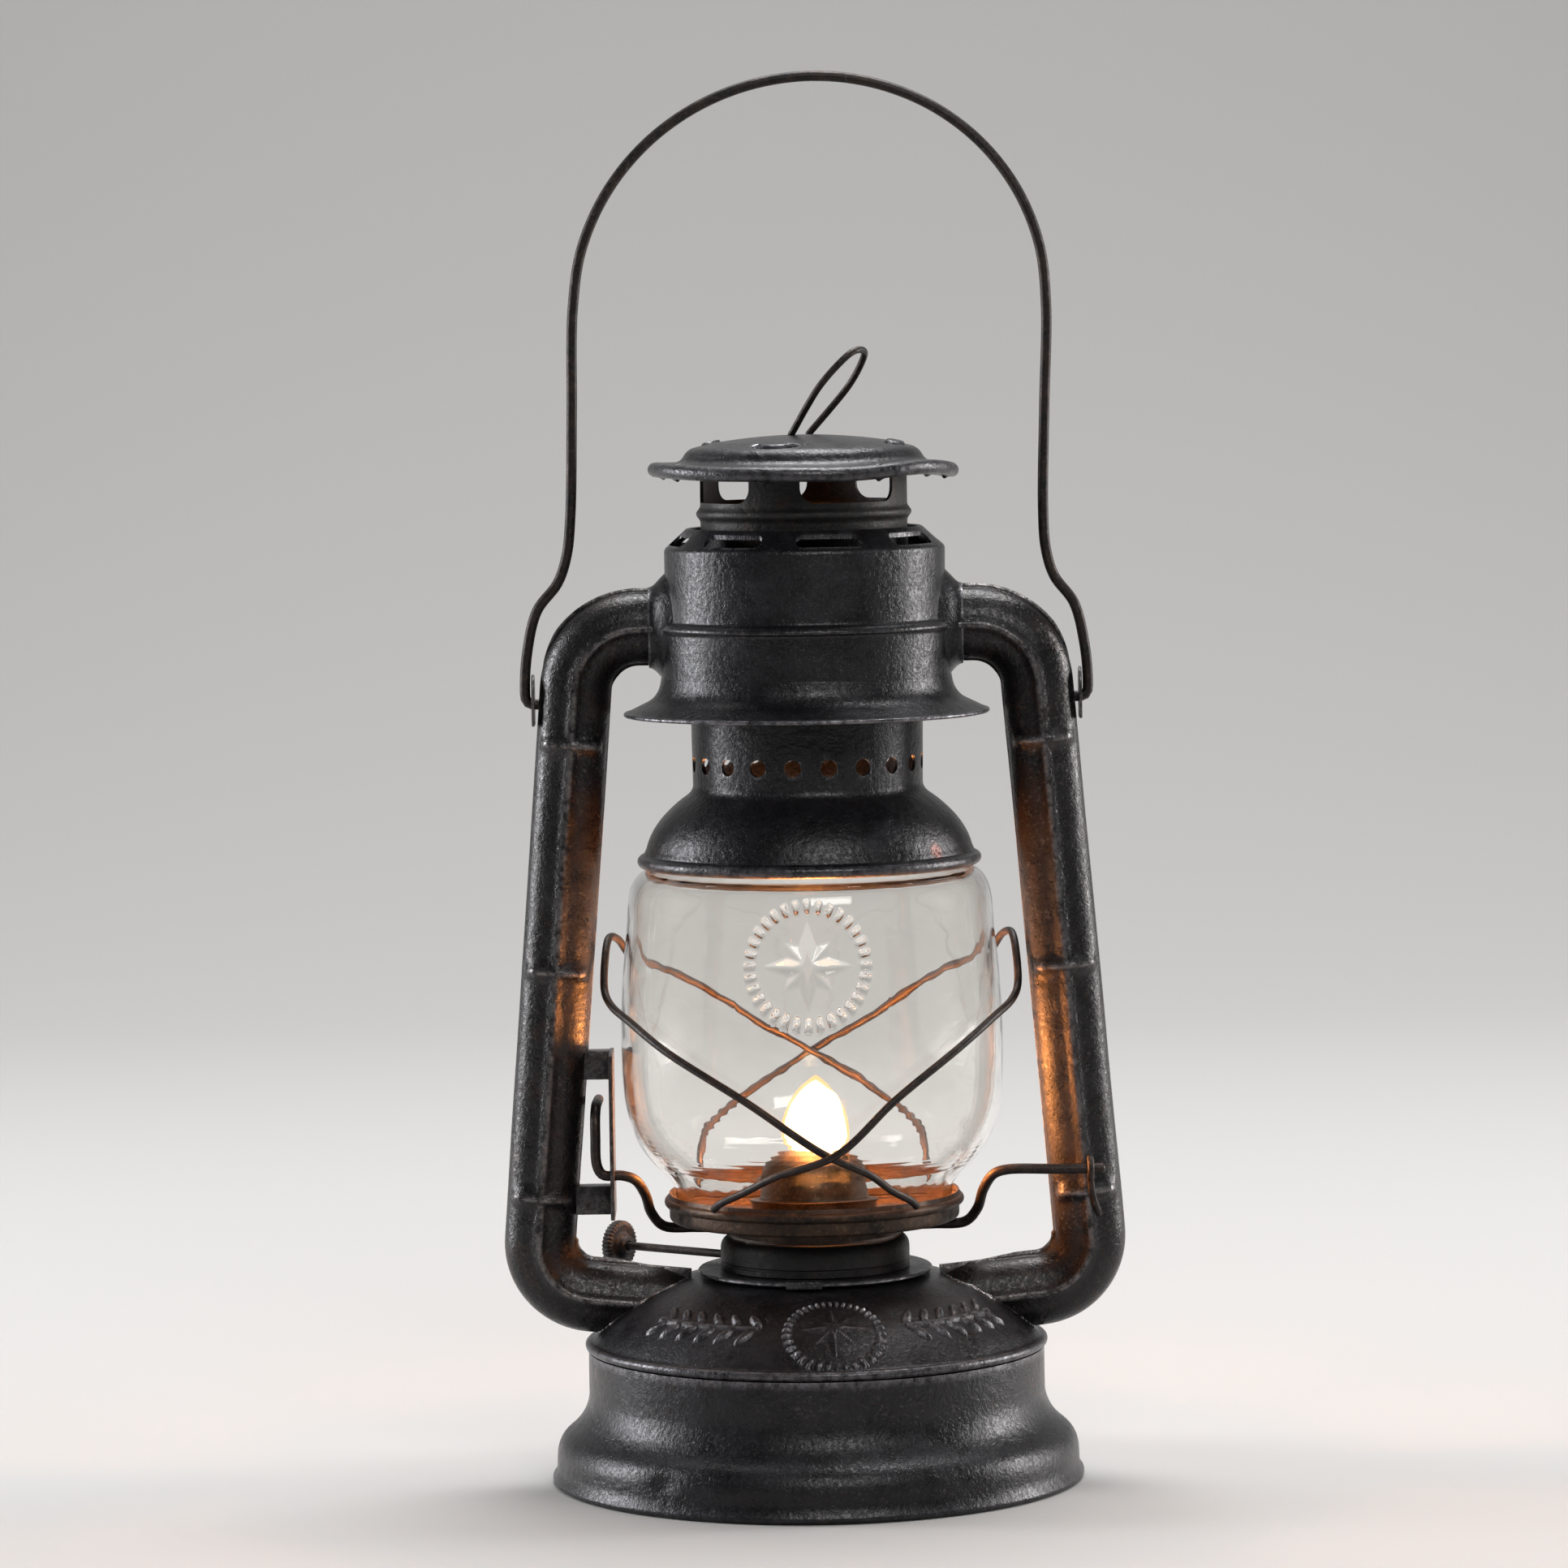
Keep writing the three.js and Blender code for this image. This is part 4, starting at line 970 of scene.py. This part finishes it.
def make_guard(node, side, crossing):
    """One guard wire. Where the two wires cross, it stands off the glass by crossing."""
    points = []
    for angle, z, off in GUARD_STOPS:
        reach = max(glass_radius(z), PLATE_BEAD) + GUARD_RADIUS + (crossing if off is None else off)
        shift = math.radians(CROSSING_SHIFT) * math.exp(-((angle + 2) / 24) ** 2)
        at = side * math.radians(angle) + shift
        points.append((reach * math.sin(at), -reach * math.cos(at), z))
    stand_for(node, wire(spline(points, 0.9), GUARD_RADIUS, 14))


# ---------------------------------------------------------------- side tubes
def tube_line():
    """The middle line of the right tube, from the air chamber round to the fount."""
    corners = [((32.6, 0, TUBE_Z), 0), ((54.7, 0, TUBE_Z), 15.4), ((68, 0, 46.5), 13.5), ((31, 0, 42.8), 0)]
    return spaced(bent(corners, 3), TUBE_STEP)


def outward_from(line):
    """The direction of the outer seam at each point of the tube's middle line."""
    ahead = np.gradient(line, axis=0)
    ahead /= np.linalg.norm(ahead, axis=1)[:, None]
    return np.stack([-ahead[:, 2], 0 * ahead[:, 0], ahead[:, 0]], -1)


def tube_ribs(line, across, sin):
    """How far the long rib and the cross ribs stand out of the tube's face."""
    rib = 1.15 * np.exp(-(across / 1.35) ** 2)
    window = np.clip((sin - 0.5) / 0.3, 0, 1)
    for z in CROSS_RIBS:
        rib = np.maximum(rib, 1.5 * window * np.exp(-((line[:, 2] - z) / 1.5) ** 2) * (line[:, 0] > 50))
    return rib


def tube_surface(line, angle, side, inset=0.0):
    """Points of the tube at one angle round its section, 0 at its outer seam and 180 at its inner one."""
    cos, sin = math.cos(math.radians(angle)), math.sin(math.radians(angle))
    to_end = np.linspace(1, 0, len(line)) * (len(line) - 1) * TUBE_STEP
    sink = 1 - 0.3 * np.clip(1 - to_end / 11, 0, 1) ** 2
    across = (TUBE_HALF_WIDTH * sink - inset) * cos
    depth = (TUBE_HALF_DEPTH - inset) * sin
    if not inset:
        rib = tube_ribs(line, across, sin)
        across = across + rib * cos
        depth = depth + rib * sin
    ledge = np.array((0, side, 0)) * (depth + 0.15 + 0 * across)[:, None]
    return line + outward_from(line) * across[:, None] + ledge


def tube_half(node, mirror, side):
    """One pressed half of a side tube, with its ribs and the fins of its seams."""
    line = tube_line()
    outward = outward_from(line)
    elbow = np.clip((line[:, 2] - 196) / 6, 0, 1)
    level = np.clip((72 - line[:, 0]) / 8, 0, 1) * np.clip((line[:, 0] - 41) / 9, 0, 1) * (line[:, 2] < 60)
    ledge = np.array((0, side, 0))
    columns = []
    for proud, thick in ((1, 0.15), (1, 0.6), (0.25, 0.75)):
        fin = 1.1 * proud * elbow - 0.15
        columns.append(line + outward * (TUBE_HALF_WIDTH + fin)[:, None] + ledge * thick)
    columns += [tube_surface(line, a, side) for a in np.linspace(7, 173, 44)]
    for proud, thick in ((0.25, 0.75), (1, 0.6), (1, 0.15)):
        fin = 0.9 * proud * np.maximum(0.35 * elbow, level) + 0.15
        columns.append(line - outward * (TUBE_HALF_WIDTH + fin)[:, None] + ledge * thick)
    columns += [tube_surface(line, a, side, SHEET) for a in np.linspace(176, 4, 22)]
    grid = np.stack(columns, 1)
    grid[..., 0] *= mirror
    stand_for(node, moved(skin(grid, False), handmade(0.05, 3.3 + mirror + side)), smooth=50)


def saddle_line():
    """Where the tube's surface enters the dome, all round the tube."""
    line = tube_line()
    low_run = line[line[:, 2] < 60]
    offset = len(line) - len(low_run)
    points = []
    for k in range(72):
        angle = 360 * k / 72
        side = -1 if angle < 180 else 1
        surface = tube_surface(line, angle if angle < 180 else 360 - angle, side)[offset:]
        inside = surface[:, 2] < dome_height(np.hypot(surface[:, 0], surface[:, 1]))
        inside &= np.hypot(surface[:, 0], surface[:, 1]) < DOME_FOOT.x + 0.3
        first = int(np.argmax(inside))
        points.append(surface[first] if inside.any() else surface[-1])
    return np.array(points)


def make_tubes():
    for word, mirror in (("right", 1), ("left", -1)):
        tube_half(f"{word}_tube_front", mirror, -1)
        tube_half(f"{word}_tube_rear", mirror, 1)
        flange = wire(saddle_line() * (mirror, 1, 1), 0.65, 10, closed=True)
        add_trim(f"{word}_saddle_edge", flange, f"{word}_tube_front")
        make_socket(word, mirror)


def make_socket(word, mirror):
    """The flared socket on the air chamber that a tube's mouth enters."""
    sections = [
        (31, 14.5, 12.5), (33.6, 13.4, 11.4), (35.2, 11.8, 10.0), (36.4, 10.5, 8.9), (37.3, 9.9, 8.5),
        (37.9, 9.8, 8.4), (38, 9.6, 8.2), (38, 8.9, 7.8), (36, 8.8, 7.7), (31, 8.8, 7.7),
    ]
    around = np.linspace(0, 2 * math.pi, 64, endpoint=False)
    rows = [np.stack([mirror * x + 0 * around, d * np.cos(around), TUBE_Z + h * np.sin(around)], -1)
            for x, h, d in sections]
    add_trim(f"{word}_tube_socket", skin(np.array(rows), True), "air_chamber")


# ---------------------------------------------------------------- air chamber
def shoulder_slot(middle):
    """A cutter for one of the shoulder's slots: a stadium bent round the axis."""
    inner, outer = SHOULDER_SLOTS["inner"], SHOULDER_SLOTS["outer"]
    radius = (inner + outer) / 2
    loop = stadium(math.radians(SHOULDER_SLOTS["sweep"]) * radius, outer - inner)

    def place(u, v, w):
        angle = math.radians(middle) + u / radius
        return ((radius + v) * math.sin(angle), -(radius + v) * math.cos(angle), w)

    return prism(stepped(loop, 0.5), 223.5, 233, place)


def round_places(pattern):
    """The directions, in degrees from the front, of what repeats evenly round the axis."""
    return [pattern["turn"] + 360 / pattern["count"] * k for k in range(pattern["count"])]


def make_chamber():
    low, high = span("air_chamber")
    line = outline([
        (35.1, low.z), (35.1, 206.2), (35.1, 206.9, 35.6, 207.2), (36.1, 207.6, 35.7, 208.2),
        (35.3, 208.9, 34.4, 209.2), (33.95, 209.4, 33.9, 210.2), (33.9, 226), (33.9, 226.8, 33.3, 227.3),
        (28.6, 231.5), (28, 232, 27.5, 231.5),
    ], 8)
    shell = moved(revolve(sheet_loop(line), 256), handmade(0.1, 1.1))
    mouth = wire([(x, 0, TUBE_Z) for x in (-60, -30, 0, 30, 60)], 9.2, 40)
    slots = [shoulder_slot(middle) for middle in round_places(SHOULDER_SLOTS)]
    stand_for("air_chamber", carved(shell, [mouth, *slots], crossing=True))
    low, high = span("chamber_skirt")
    tip = high.x
    line = arc((tip - 0.5, low.z + 0.6), 0.5, -120, 62, 8)
    line += outline([(tip - 1.2, low.z + 1.3), (39.4, 189.5), (36, 190.9, 35.35, 194.6), (34.7, 198)], 14)
    skirt = revolve(sheet_loop(line, 0.6), 200)
    stand_for("chamber_skirt", moved(skirt, handmade(0.12, 4.2)))
    low, high = span("chimney_guide")
    stand_for("chimney_guide", ring(25.6, high.x, low.z, high.z), SMOKED)


# ---------------------------------------------------------------- chimney
def make_bell():
    line = arc((40.2, 151.3), 1.5, -120, 75, 16)
    line += outline([
        (40.0, 153.2), (39.9, 153.6, 39.5, 154.4), (37.9, 161.3, 29.4, 167.2),
        (27.9, 168.3, 27.9, 169.9), (27.9, 195.4), (27.9, 196, 27.3, 196), (25.5, 196),
    ], 18)
    shell = moved(revolve(sheet_loop(line), 240), handmade(0.12, 5.5))
    holes = []
    for middle in round_places(BELL_HOLES):
        angle = math.radians(middle)
        ray = [(r * math.sin(angle), -r * math.cos(angle), BELL_HOLES["height"]) for r in (24, 27, 31)]
        holes.append(wire(ray, BELL_HOLES["radius"], 24))
    bell = carved(shell, holes)
    mark_rust(bell, RUST_SPOT, 2.6)
    stand_for("chimney_bell", bell)


def mark_rust(mesh, middle, reach):
    """Stores where a spot of rust has broken through the finish."""
    spot = mesh.attributes.new("rust", "FLOAT", "POINT")
    for vertex, value in zip(mesh.vertices, spot.data):
        value.value = max(0.0, 1 - (vertex.co / MM - middle).length / reach)


def crown_window(middle):
    """A cutter for one window of the crown: square at the top, well rounded at the bottom corners."""
    half, low, high, corner = (WINDOWS[key] for key in ("half", "low", "high", "corner"))
    loop = [(half, high), (-half, high)]
    for side, start in ((-1, 180), (1, 270)):
        for angle in np.radians(np.arange(start, start + 91, 10)):
            u = side * (half - corner) + corner * math.cos(angle)
            loop.append((u, low + corner + corner * math.sin(angle)))
    turn = math.radians(middle)

    def place(u, v, w):
        return (w * math.sin(turn + u / CROWN_RADIUS), -w * math.cos(turn + u / CROWN_RADIUS), v)

    return prism(stepped(loop, 0.8), 21, 28, place)


def make_crown():
    low, high = span("chimney_crown")
    line = outline([
        (CROWN_RADIUS, low.z), (CROWN_RADIUS, 233), (CROWN_RADIUS, 233.6, 25.6, 234.3),
        (26.4, 235.2, 25.6, 236.1), (CROWN_RADIUS, 236.8, CROWN_RADIUS, 237.4), (CROWN_RADIUS, high.z),
    ], 8)
    shell = revolve(sheet_loop(line), 220)
    windows = [crown_window(middle) for middle in round_places(WINDOWS)]
    stand_for("chimney_crown", carved(shell, windows), SMOKED)


def turn_from(angle, degrees):
    """How far an angle lies from a direction, the short way round, in radians."""
    return (angle - math.radians(degrees) + math.pi) % (2 * math.pi) - math.pi


def cap_relief(places):
    """The clinch marks and the wavy rim of the cap, bent by use."""
    x, y, z = places.T
    radius, angle = np.hypot(x, y), np.arctan2(x, -y)
    lift = np.zeros_like(x)
    for at in CLINCHES:
        u = turn_from(angle, at) * 23.2
        v = radius - 23.3
        inside = (u / 4.4) ** 2 + (v / 2.1) ** 2
        lift += 0.6 * np.clip(1.1 - inside, 0, 0.35) / 0.35 - 1.0 * np.exp(-((inside - 1.35) / 0.3) ** 2)
    notch = np.zeros_like(x)
    for middle in round_places(CAP_NOTCHES):
        u = turn_from(angle, middle) * 35
        notch = np.maximum(notch, np.exp(-((u / 0.8) ** 2 + ((radius - CAP_NOTCHES["radius"]) / 1.1) ** 2)))
    on_top = z > 243
    rim = np.clip((radius - 22) / 15, 0, 1) ** 1.5
    wave = 0.5 * np.sin(2 * angle + 1.1) + 0.7 * np.sin(3 * angle - 0.6)
    wave -= 1.6 * np.exp(-((angle - 0.36) / 0.45) ** 2)
    height = z + rim * wave + np.where(on_top, lift - 1.1 * notch, 0)
    return np.stack([x, y, height], -1)


def make_cap():
    top = span("hood_cap")[1].z
    roll = arc((35.8, 245.9), 1.75, -160, 75, 16)
    line = outline([
        (35.4, 247.7), (34, 247.6, 31, 247.7), (29.6, 247.8, 28.8, 249.2), (28, 250.7, 26.2, 251.2),
        (24.6, 251.6, 22.2, 252.1), (21.6, 252.3, 20.6, 252.4), (10, top, 0, top),
    ], 12)
    loop = subdivided(sheet_loop(roll + line), 0.5)
    grid = turned_grid(loop, np.linspace(0, 2 * math.pi, 420, endpoint=False))
    stand_for("hood_cap", moved(skin(grid, True), cap_relief), smooth=50)


def make_spring():
    """The spring in two halves, the upper one on the spring's own body and the lower one on the chimney bell's."""
    low, high = span("chimney_spring")
    bottom, top = low.z + SPRING_WIRE, high.z - SPRING_WIRE
    middle = (bottom + top) / 2

    def half_spring(first, last):
        climb = np.linspace(first, last, 210)
        turns = (climb - bottom) / (top - bottom) * SPRING_TURNS * 2 * math.pi
        points = np.stack([SPRING_RADIUS * np.cos(turns), SPRING_RADIUS * np.sin(turns), climb], -1)
        return wire(points, SPRING_WIRE, 10)

    upper = stand_for("chimney_spring", half_spring(middle, top))
    lower = add_trim("spring_lower_half", half_spring(bottom, middle), "chimney_bell", FINISH["wire_steel"])
    for piece, joint, still in ((upper, "globe_lift", top), (lower, "chimney_slide", bottom)):
        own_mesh(piece)


def make_lift_ring():
    half, length = 4.5, 25.2
    side = [(half - 0.2, -1.2), (half, 0), (half + 1.7, 7), (half + 2.7, 14), (half + 1.4, 20)]
    side.append((3.4, length - 1))
    loop = [(-x, 0, z) for x, z in side] + [(0, 0, length)] + [(x, 0, z) for x, z in side[::-1]]
    mesh = wire(spline(loop, 0.6), RING_WIRE, 14)
    for change in (turned_about_x(RING_LEAN), turned_about_z(RING_TURN)):
        moved(mesh, change)
    moved(mesh, lambda p: p + (0, 0, RING_PLACE.z))
    stand_for("lift_ring", mesh)


# ---------------------------------------------------------------- bail
def make_bail():
    """The carrying wire, leaning a little to the right as it hangs in use."""
    ear, arm, straight, top, lean = 68.1, 57, 285, 340, 0.028
    pivot = BAIL_PIVOT.z
    half = [
        (ear - 4.2, pivot), (ear - 1.4, pivot), (ear - 0.3, pivot + 0.9), (ear, pivot + 4),
        (ear - 0.8, 203), (ear - 3.2, 212.4), (arm + 3, 219), (arm + 0.9, 225.6), (arm + 0.1, 235),
        (arm, 260),
    ]
    for k in range(7):
        angle = math.radians(15 * k)
        half.append((arm * math.cos(angle), straight + (top - straight) * math.sin(angle)))
    both = half + [(-x, z) for x, z in half[-2::-1]]
    points = [(x + lean * max(z - pivot - 20, 0), 0, z) for x, z in both]
    stand_for("bail", moved(wire(spline(points, 1.2), BAIL_WIRE, 16), wavering))


def wavering(places):
    """The slight bends of a wire that has been used, above its shoulders."""
    x, y, z = places.T
    return np.stack([x, y + 0.3 * np.sin(z / 17) * (z > 215), z], -1)


def make_ears():
    low, high = span("right_bail_ear")
    loop = [(-EAR_HALF, low.z), (EAR_HALF, low.z)]
    for angle in np.linspace(0, math.pi, 18):
        loop.append((EAR_HALF * math.cos(angle), high.z - EAR_HALF + EAR_HALF * math.sin(angle)))
    hole = wire([(x, 0, BAIL_PIVOT.z) for x in (60, 66, 72)], PIN_HOLE, 28)
    for word, mirror in (("right", 1), ("left", -1)):
        plate = prism(loop, low.x, high.x, lambda u, v, w: (w, u, v))
        ear = carved(plate, [hole])
        soften(ear, 0.2)
        stand_for(f"{word}_bail_ear", ear if mirror > 0 else flipped(ear), worn=0.35)


def flipped(mesh):
    """The mesh mirrored left to right, its faces still out."""
    moved(mesh, lambda p: p * (-1, 1, 1))
    mesh.flip_normals()
    return mesh


def soften(mesh, width):
    """Bevels the sharp edges of a mesh."""
    build = bmesh.new()
    build.from_mesh(mesh)
    sharp = [e for e in build.edges if len(e.link_faces) == 2 and e.calc_face_angle(0) > math.radians(40)]
    bmesh.ops.bevel(build, geom=sharp, offset=width * MM, segments=2, affect="EDGES", profile=0.5,
                    clamp_overlap=True)
    build.to_mesh(mesh)
    build.free()


# ---------------------------------------------------------------- globe lift
def make_crank():
    """The lift's bent wire: across under the globe plate and up to the lever on the left."""
    pivot_y, pivot_z = CRANK_PIVOT.y, CRANK_PIVOT.z
    drop, bow, bow_y = 14.6, 24.3, 2
    right, left, lever_top, thumb = 69.6, -52.4, 92, 11
    share = [(46.4, 0), (43.4, 0.08), (41, 0.36), (39.6, 0.72), (36.6, 0.97), (bow + 5, 1)]
    side = [(x, pivot_y + (bow_y - pivot_y) * s, pivot_z - drop * s) for x, s in share]
    points = [(right, pivot_y, pivot_z), (58, pivot_y, pivot_z), *side]
    start = math.asin(bow_y / bow)
    for k in range(11):
        angle = start + (math.pi - 2 * start) * k / 10
        points.append((bow * math.cos(angle), bow * math.sin(angle), pivot_z - drop))
    points += [(-x, y, z) for x, y, z in side[::-1]]
    points += [
        (left + 1.4, pivot_y, pivot_z + 0.2), (left, pivot_y, pivot_z + 2.4),
        (left - 0.3, pivot_y, pivot_z + 10), (left - 0.3, pivot_y + 1, lever_top - 2),
        (left - 0.2, pivot_y + 4.4, lever_top), (left, thumb, lever_top),
    ]
    stand_for("lift_crank", wire(spline(points, 0.8), CRANK_WIRE, 16))


def make_bracket():
    low, high = span("lift_bracket")
    plate = block((high.x - 1, low.y, low.z), (high.x, high.y, high.z), 0.22)
    hole = wire([(x, CRANK_PIVOT.y, CRANK_PIVOT.z) for x in (-54, -49, -44)], PIN_HOLE, 28)
    plate = carved(plate, [hole])
    upper = block((-55.6, -3, high.z - 7), (high.x - 0.5, 2, high.z), 0.3)
    lower = block((-58, -3, low.z), (high.x - 0.5, 2, low.z + 7), 0.3)
    stand_for("lift_bracket", joined([plate, upper, lower]), worn=0.15)


def make_eye():
    low, high = span("lift_eye")
    middle = (low.x + high.x) / 2
    around = np.linspace(0, 2 * math.pi, 48, endpoint=False)
    y, z = CRANK_PIVOT.y, CRANK_PIVOT.z
    loop = np.stack([middle + 0 * around, y + 2.5 * np.cos(around), z + 2.5 * np.sin(around)], -1)
    eye = wire(loop, 0.85, 14, closed=True)
    stops = [(0, y + 0.4, z - 2.6), (0.4, -9.4, 70), (1.4, -8.2, 66.4), (2.2, -6.6, 64)]
    leg = wire(spline([(middle + off, *place) for off, *place in stops], 0.6), 0.85, 12)
    stand_for("lift_eye", joined([eye, leg]))


# ---------------------------------------------------------------- stage and light
def add_stage():
    """One pale sheet: the floor, and a wall far behind it joined by a wide curve."""
    near, far, height, bend, half = -6, 2.4, 3.2, 1.4, 6
    line = [(near, 0), (far - bend, 0)]
    for angle in np.linspace(0.05, math.pi / 2, 24):
        line.append((far - bend + bend * math.sin(angle), bend - bend * math.cos(angle)))
    line += [(far, height)]
    vertices = [(x, y, z) for y, z in line for x in (-half, half)]
    faces = [(2 * k, 2 * k + 1, 2 * k + 3, 2 * k + 2) for k in range(len(line) - 1)]
    mesh = bpy.data.meshes.new("stage")
    mesh.from_pydata(vertices, [], faces)
    mesh.shade_smooth()
    s = Shading("pale_stage")
    s.set(Base_Color=(0.40, 0.395, 0.39, 1), Roughness=0.85, Specular_IOR_Level=0.2)
    mesh.materials.append(s.material)
    sheet = bpy.data.objects.new("stage", mesh)
    bpy.context.scene.collection.objects.link(sheet)


def add_area(name, place, target, size, energy, colour=(1, 1, 1)):
    lamp = bpy.data.objects.new(name, bpy.data.lights.new(name, "AREA"))
    lamp.data.shape = "RECTANGLE"
    lamp.data.size, lamp.data.size_y = size
    lamp.data.energy = energy
    lamp.data.color = colour
    lamp.location = place
    lamp.rotation_euler = (Vector(target) - Vector(place)).to_track_quat("-Z", "Y").to_euler()
    bpy.context.scene.collection.objects.link(lamp)
    return lamp


def spare_globe(lamps):
    """Keeps the side lamps' bright shapes out of the glass, which is nearly clear in the photograph."""
    spared = bpy.data.collections.new("spared_by_side_lamps")
    spared.objects.link(bpy.data.objects["globe_fine"])
    spared.collection_objects[0].light_linking.link_state = "EXCLUDE"
    for lamp in lamps:
        lamp.light_linking.receiver_collection = spared


def add_lights():
    world = bpy.data.worlds.new("studio")
    world.use_nodes = True
    ground = world.node_tree.nodes["Background"]
    ground.inputs["Color"].default_value = (0.80, 0.82, 0.86, 1)
    ground.inputs["Strength"].default_value = 0.09
    bpy.context.scene.world = world
    middle = (0, 0, 0.15)
    left = add_area("left_key", (-1.30, 0.25, 0.42), middle, (0.40, 0.80), 19, (0.97, 0.98, 1.0))
    right = add_area("right_key", (1.35, 0.35, 0.42), middle, (0.40, 0.80), 18, (1.0, 0.98, 0.96))
    spare_globe((left, right))
    add_area("front", (0.3, -1.3, 1.05), middle, (0.8, 0.5), 9, (1.0, 0.99, 0.97))
    add_area("top", (0.1, 0.32, 1.35), middle, (0.8, 0.6), 21)
    add_area("wall", (0, 1.0, 2.6), (0, 2.4, 0.9), (3, 1), 46)
    bpy.context.scene.view_settings.view_transform = "Standard"


def finish_kept_nodes():
    """The CAD nodes that stay as they are get their slot's finish."""
    for node in ("wick_wheel_inner", "wick_wheel_outer"):
        kept = frame["nodes"][node]
        kept.data.materials.clear()
        kept.data.materials.append(FINISH[SLOT[node]])


make_fount()
make_filler()
make_burner()
make_wick()
make_flame()
make_globe()
make_guard("guard_wire_left", 1, 1.6)
make_guard("guard_wire_right", -1, 4.2)
make_tubes()
make_chamber()
make_bell()
make_crown()
make_cap()
make_spring()
make_lift_ring()
make_bail()
make_ears()
make_crank()
make_bracket()
make_eye()
finish_kept_nodes()
add_stage()
add_lights()
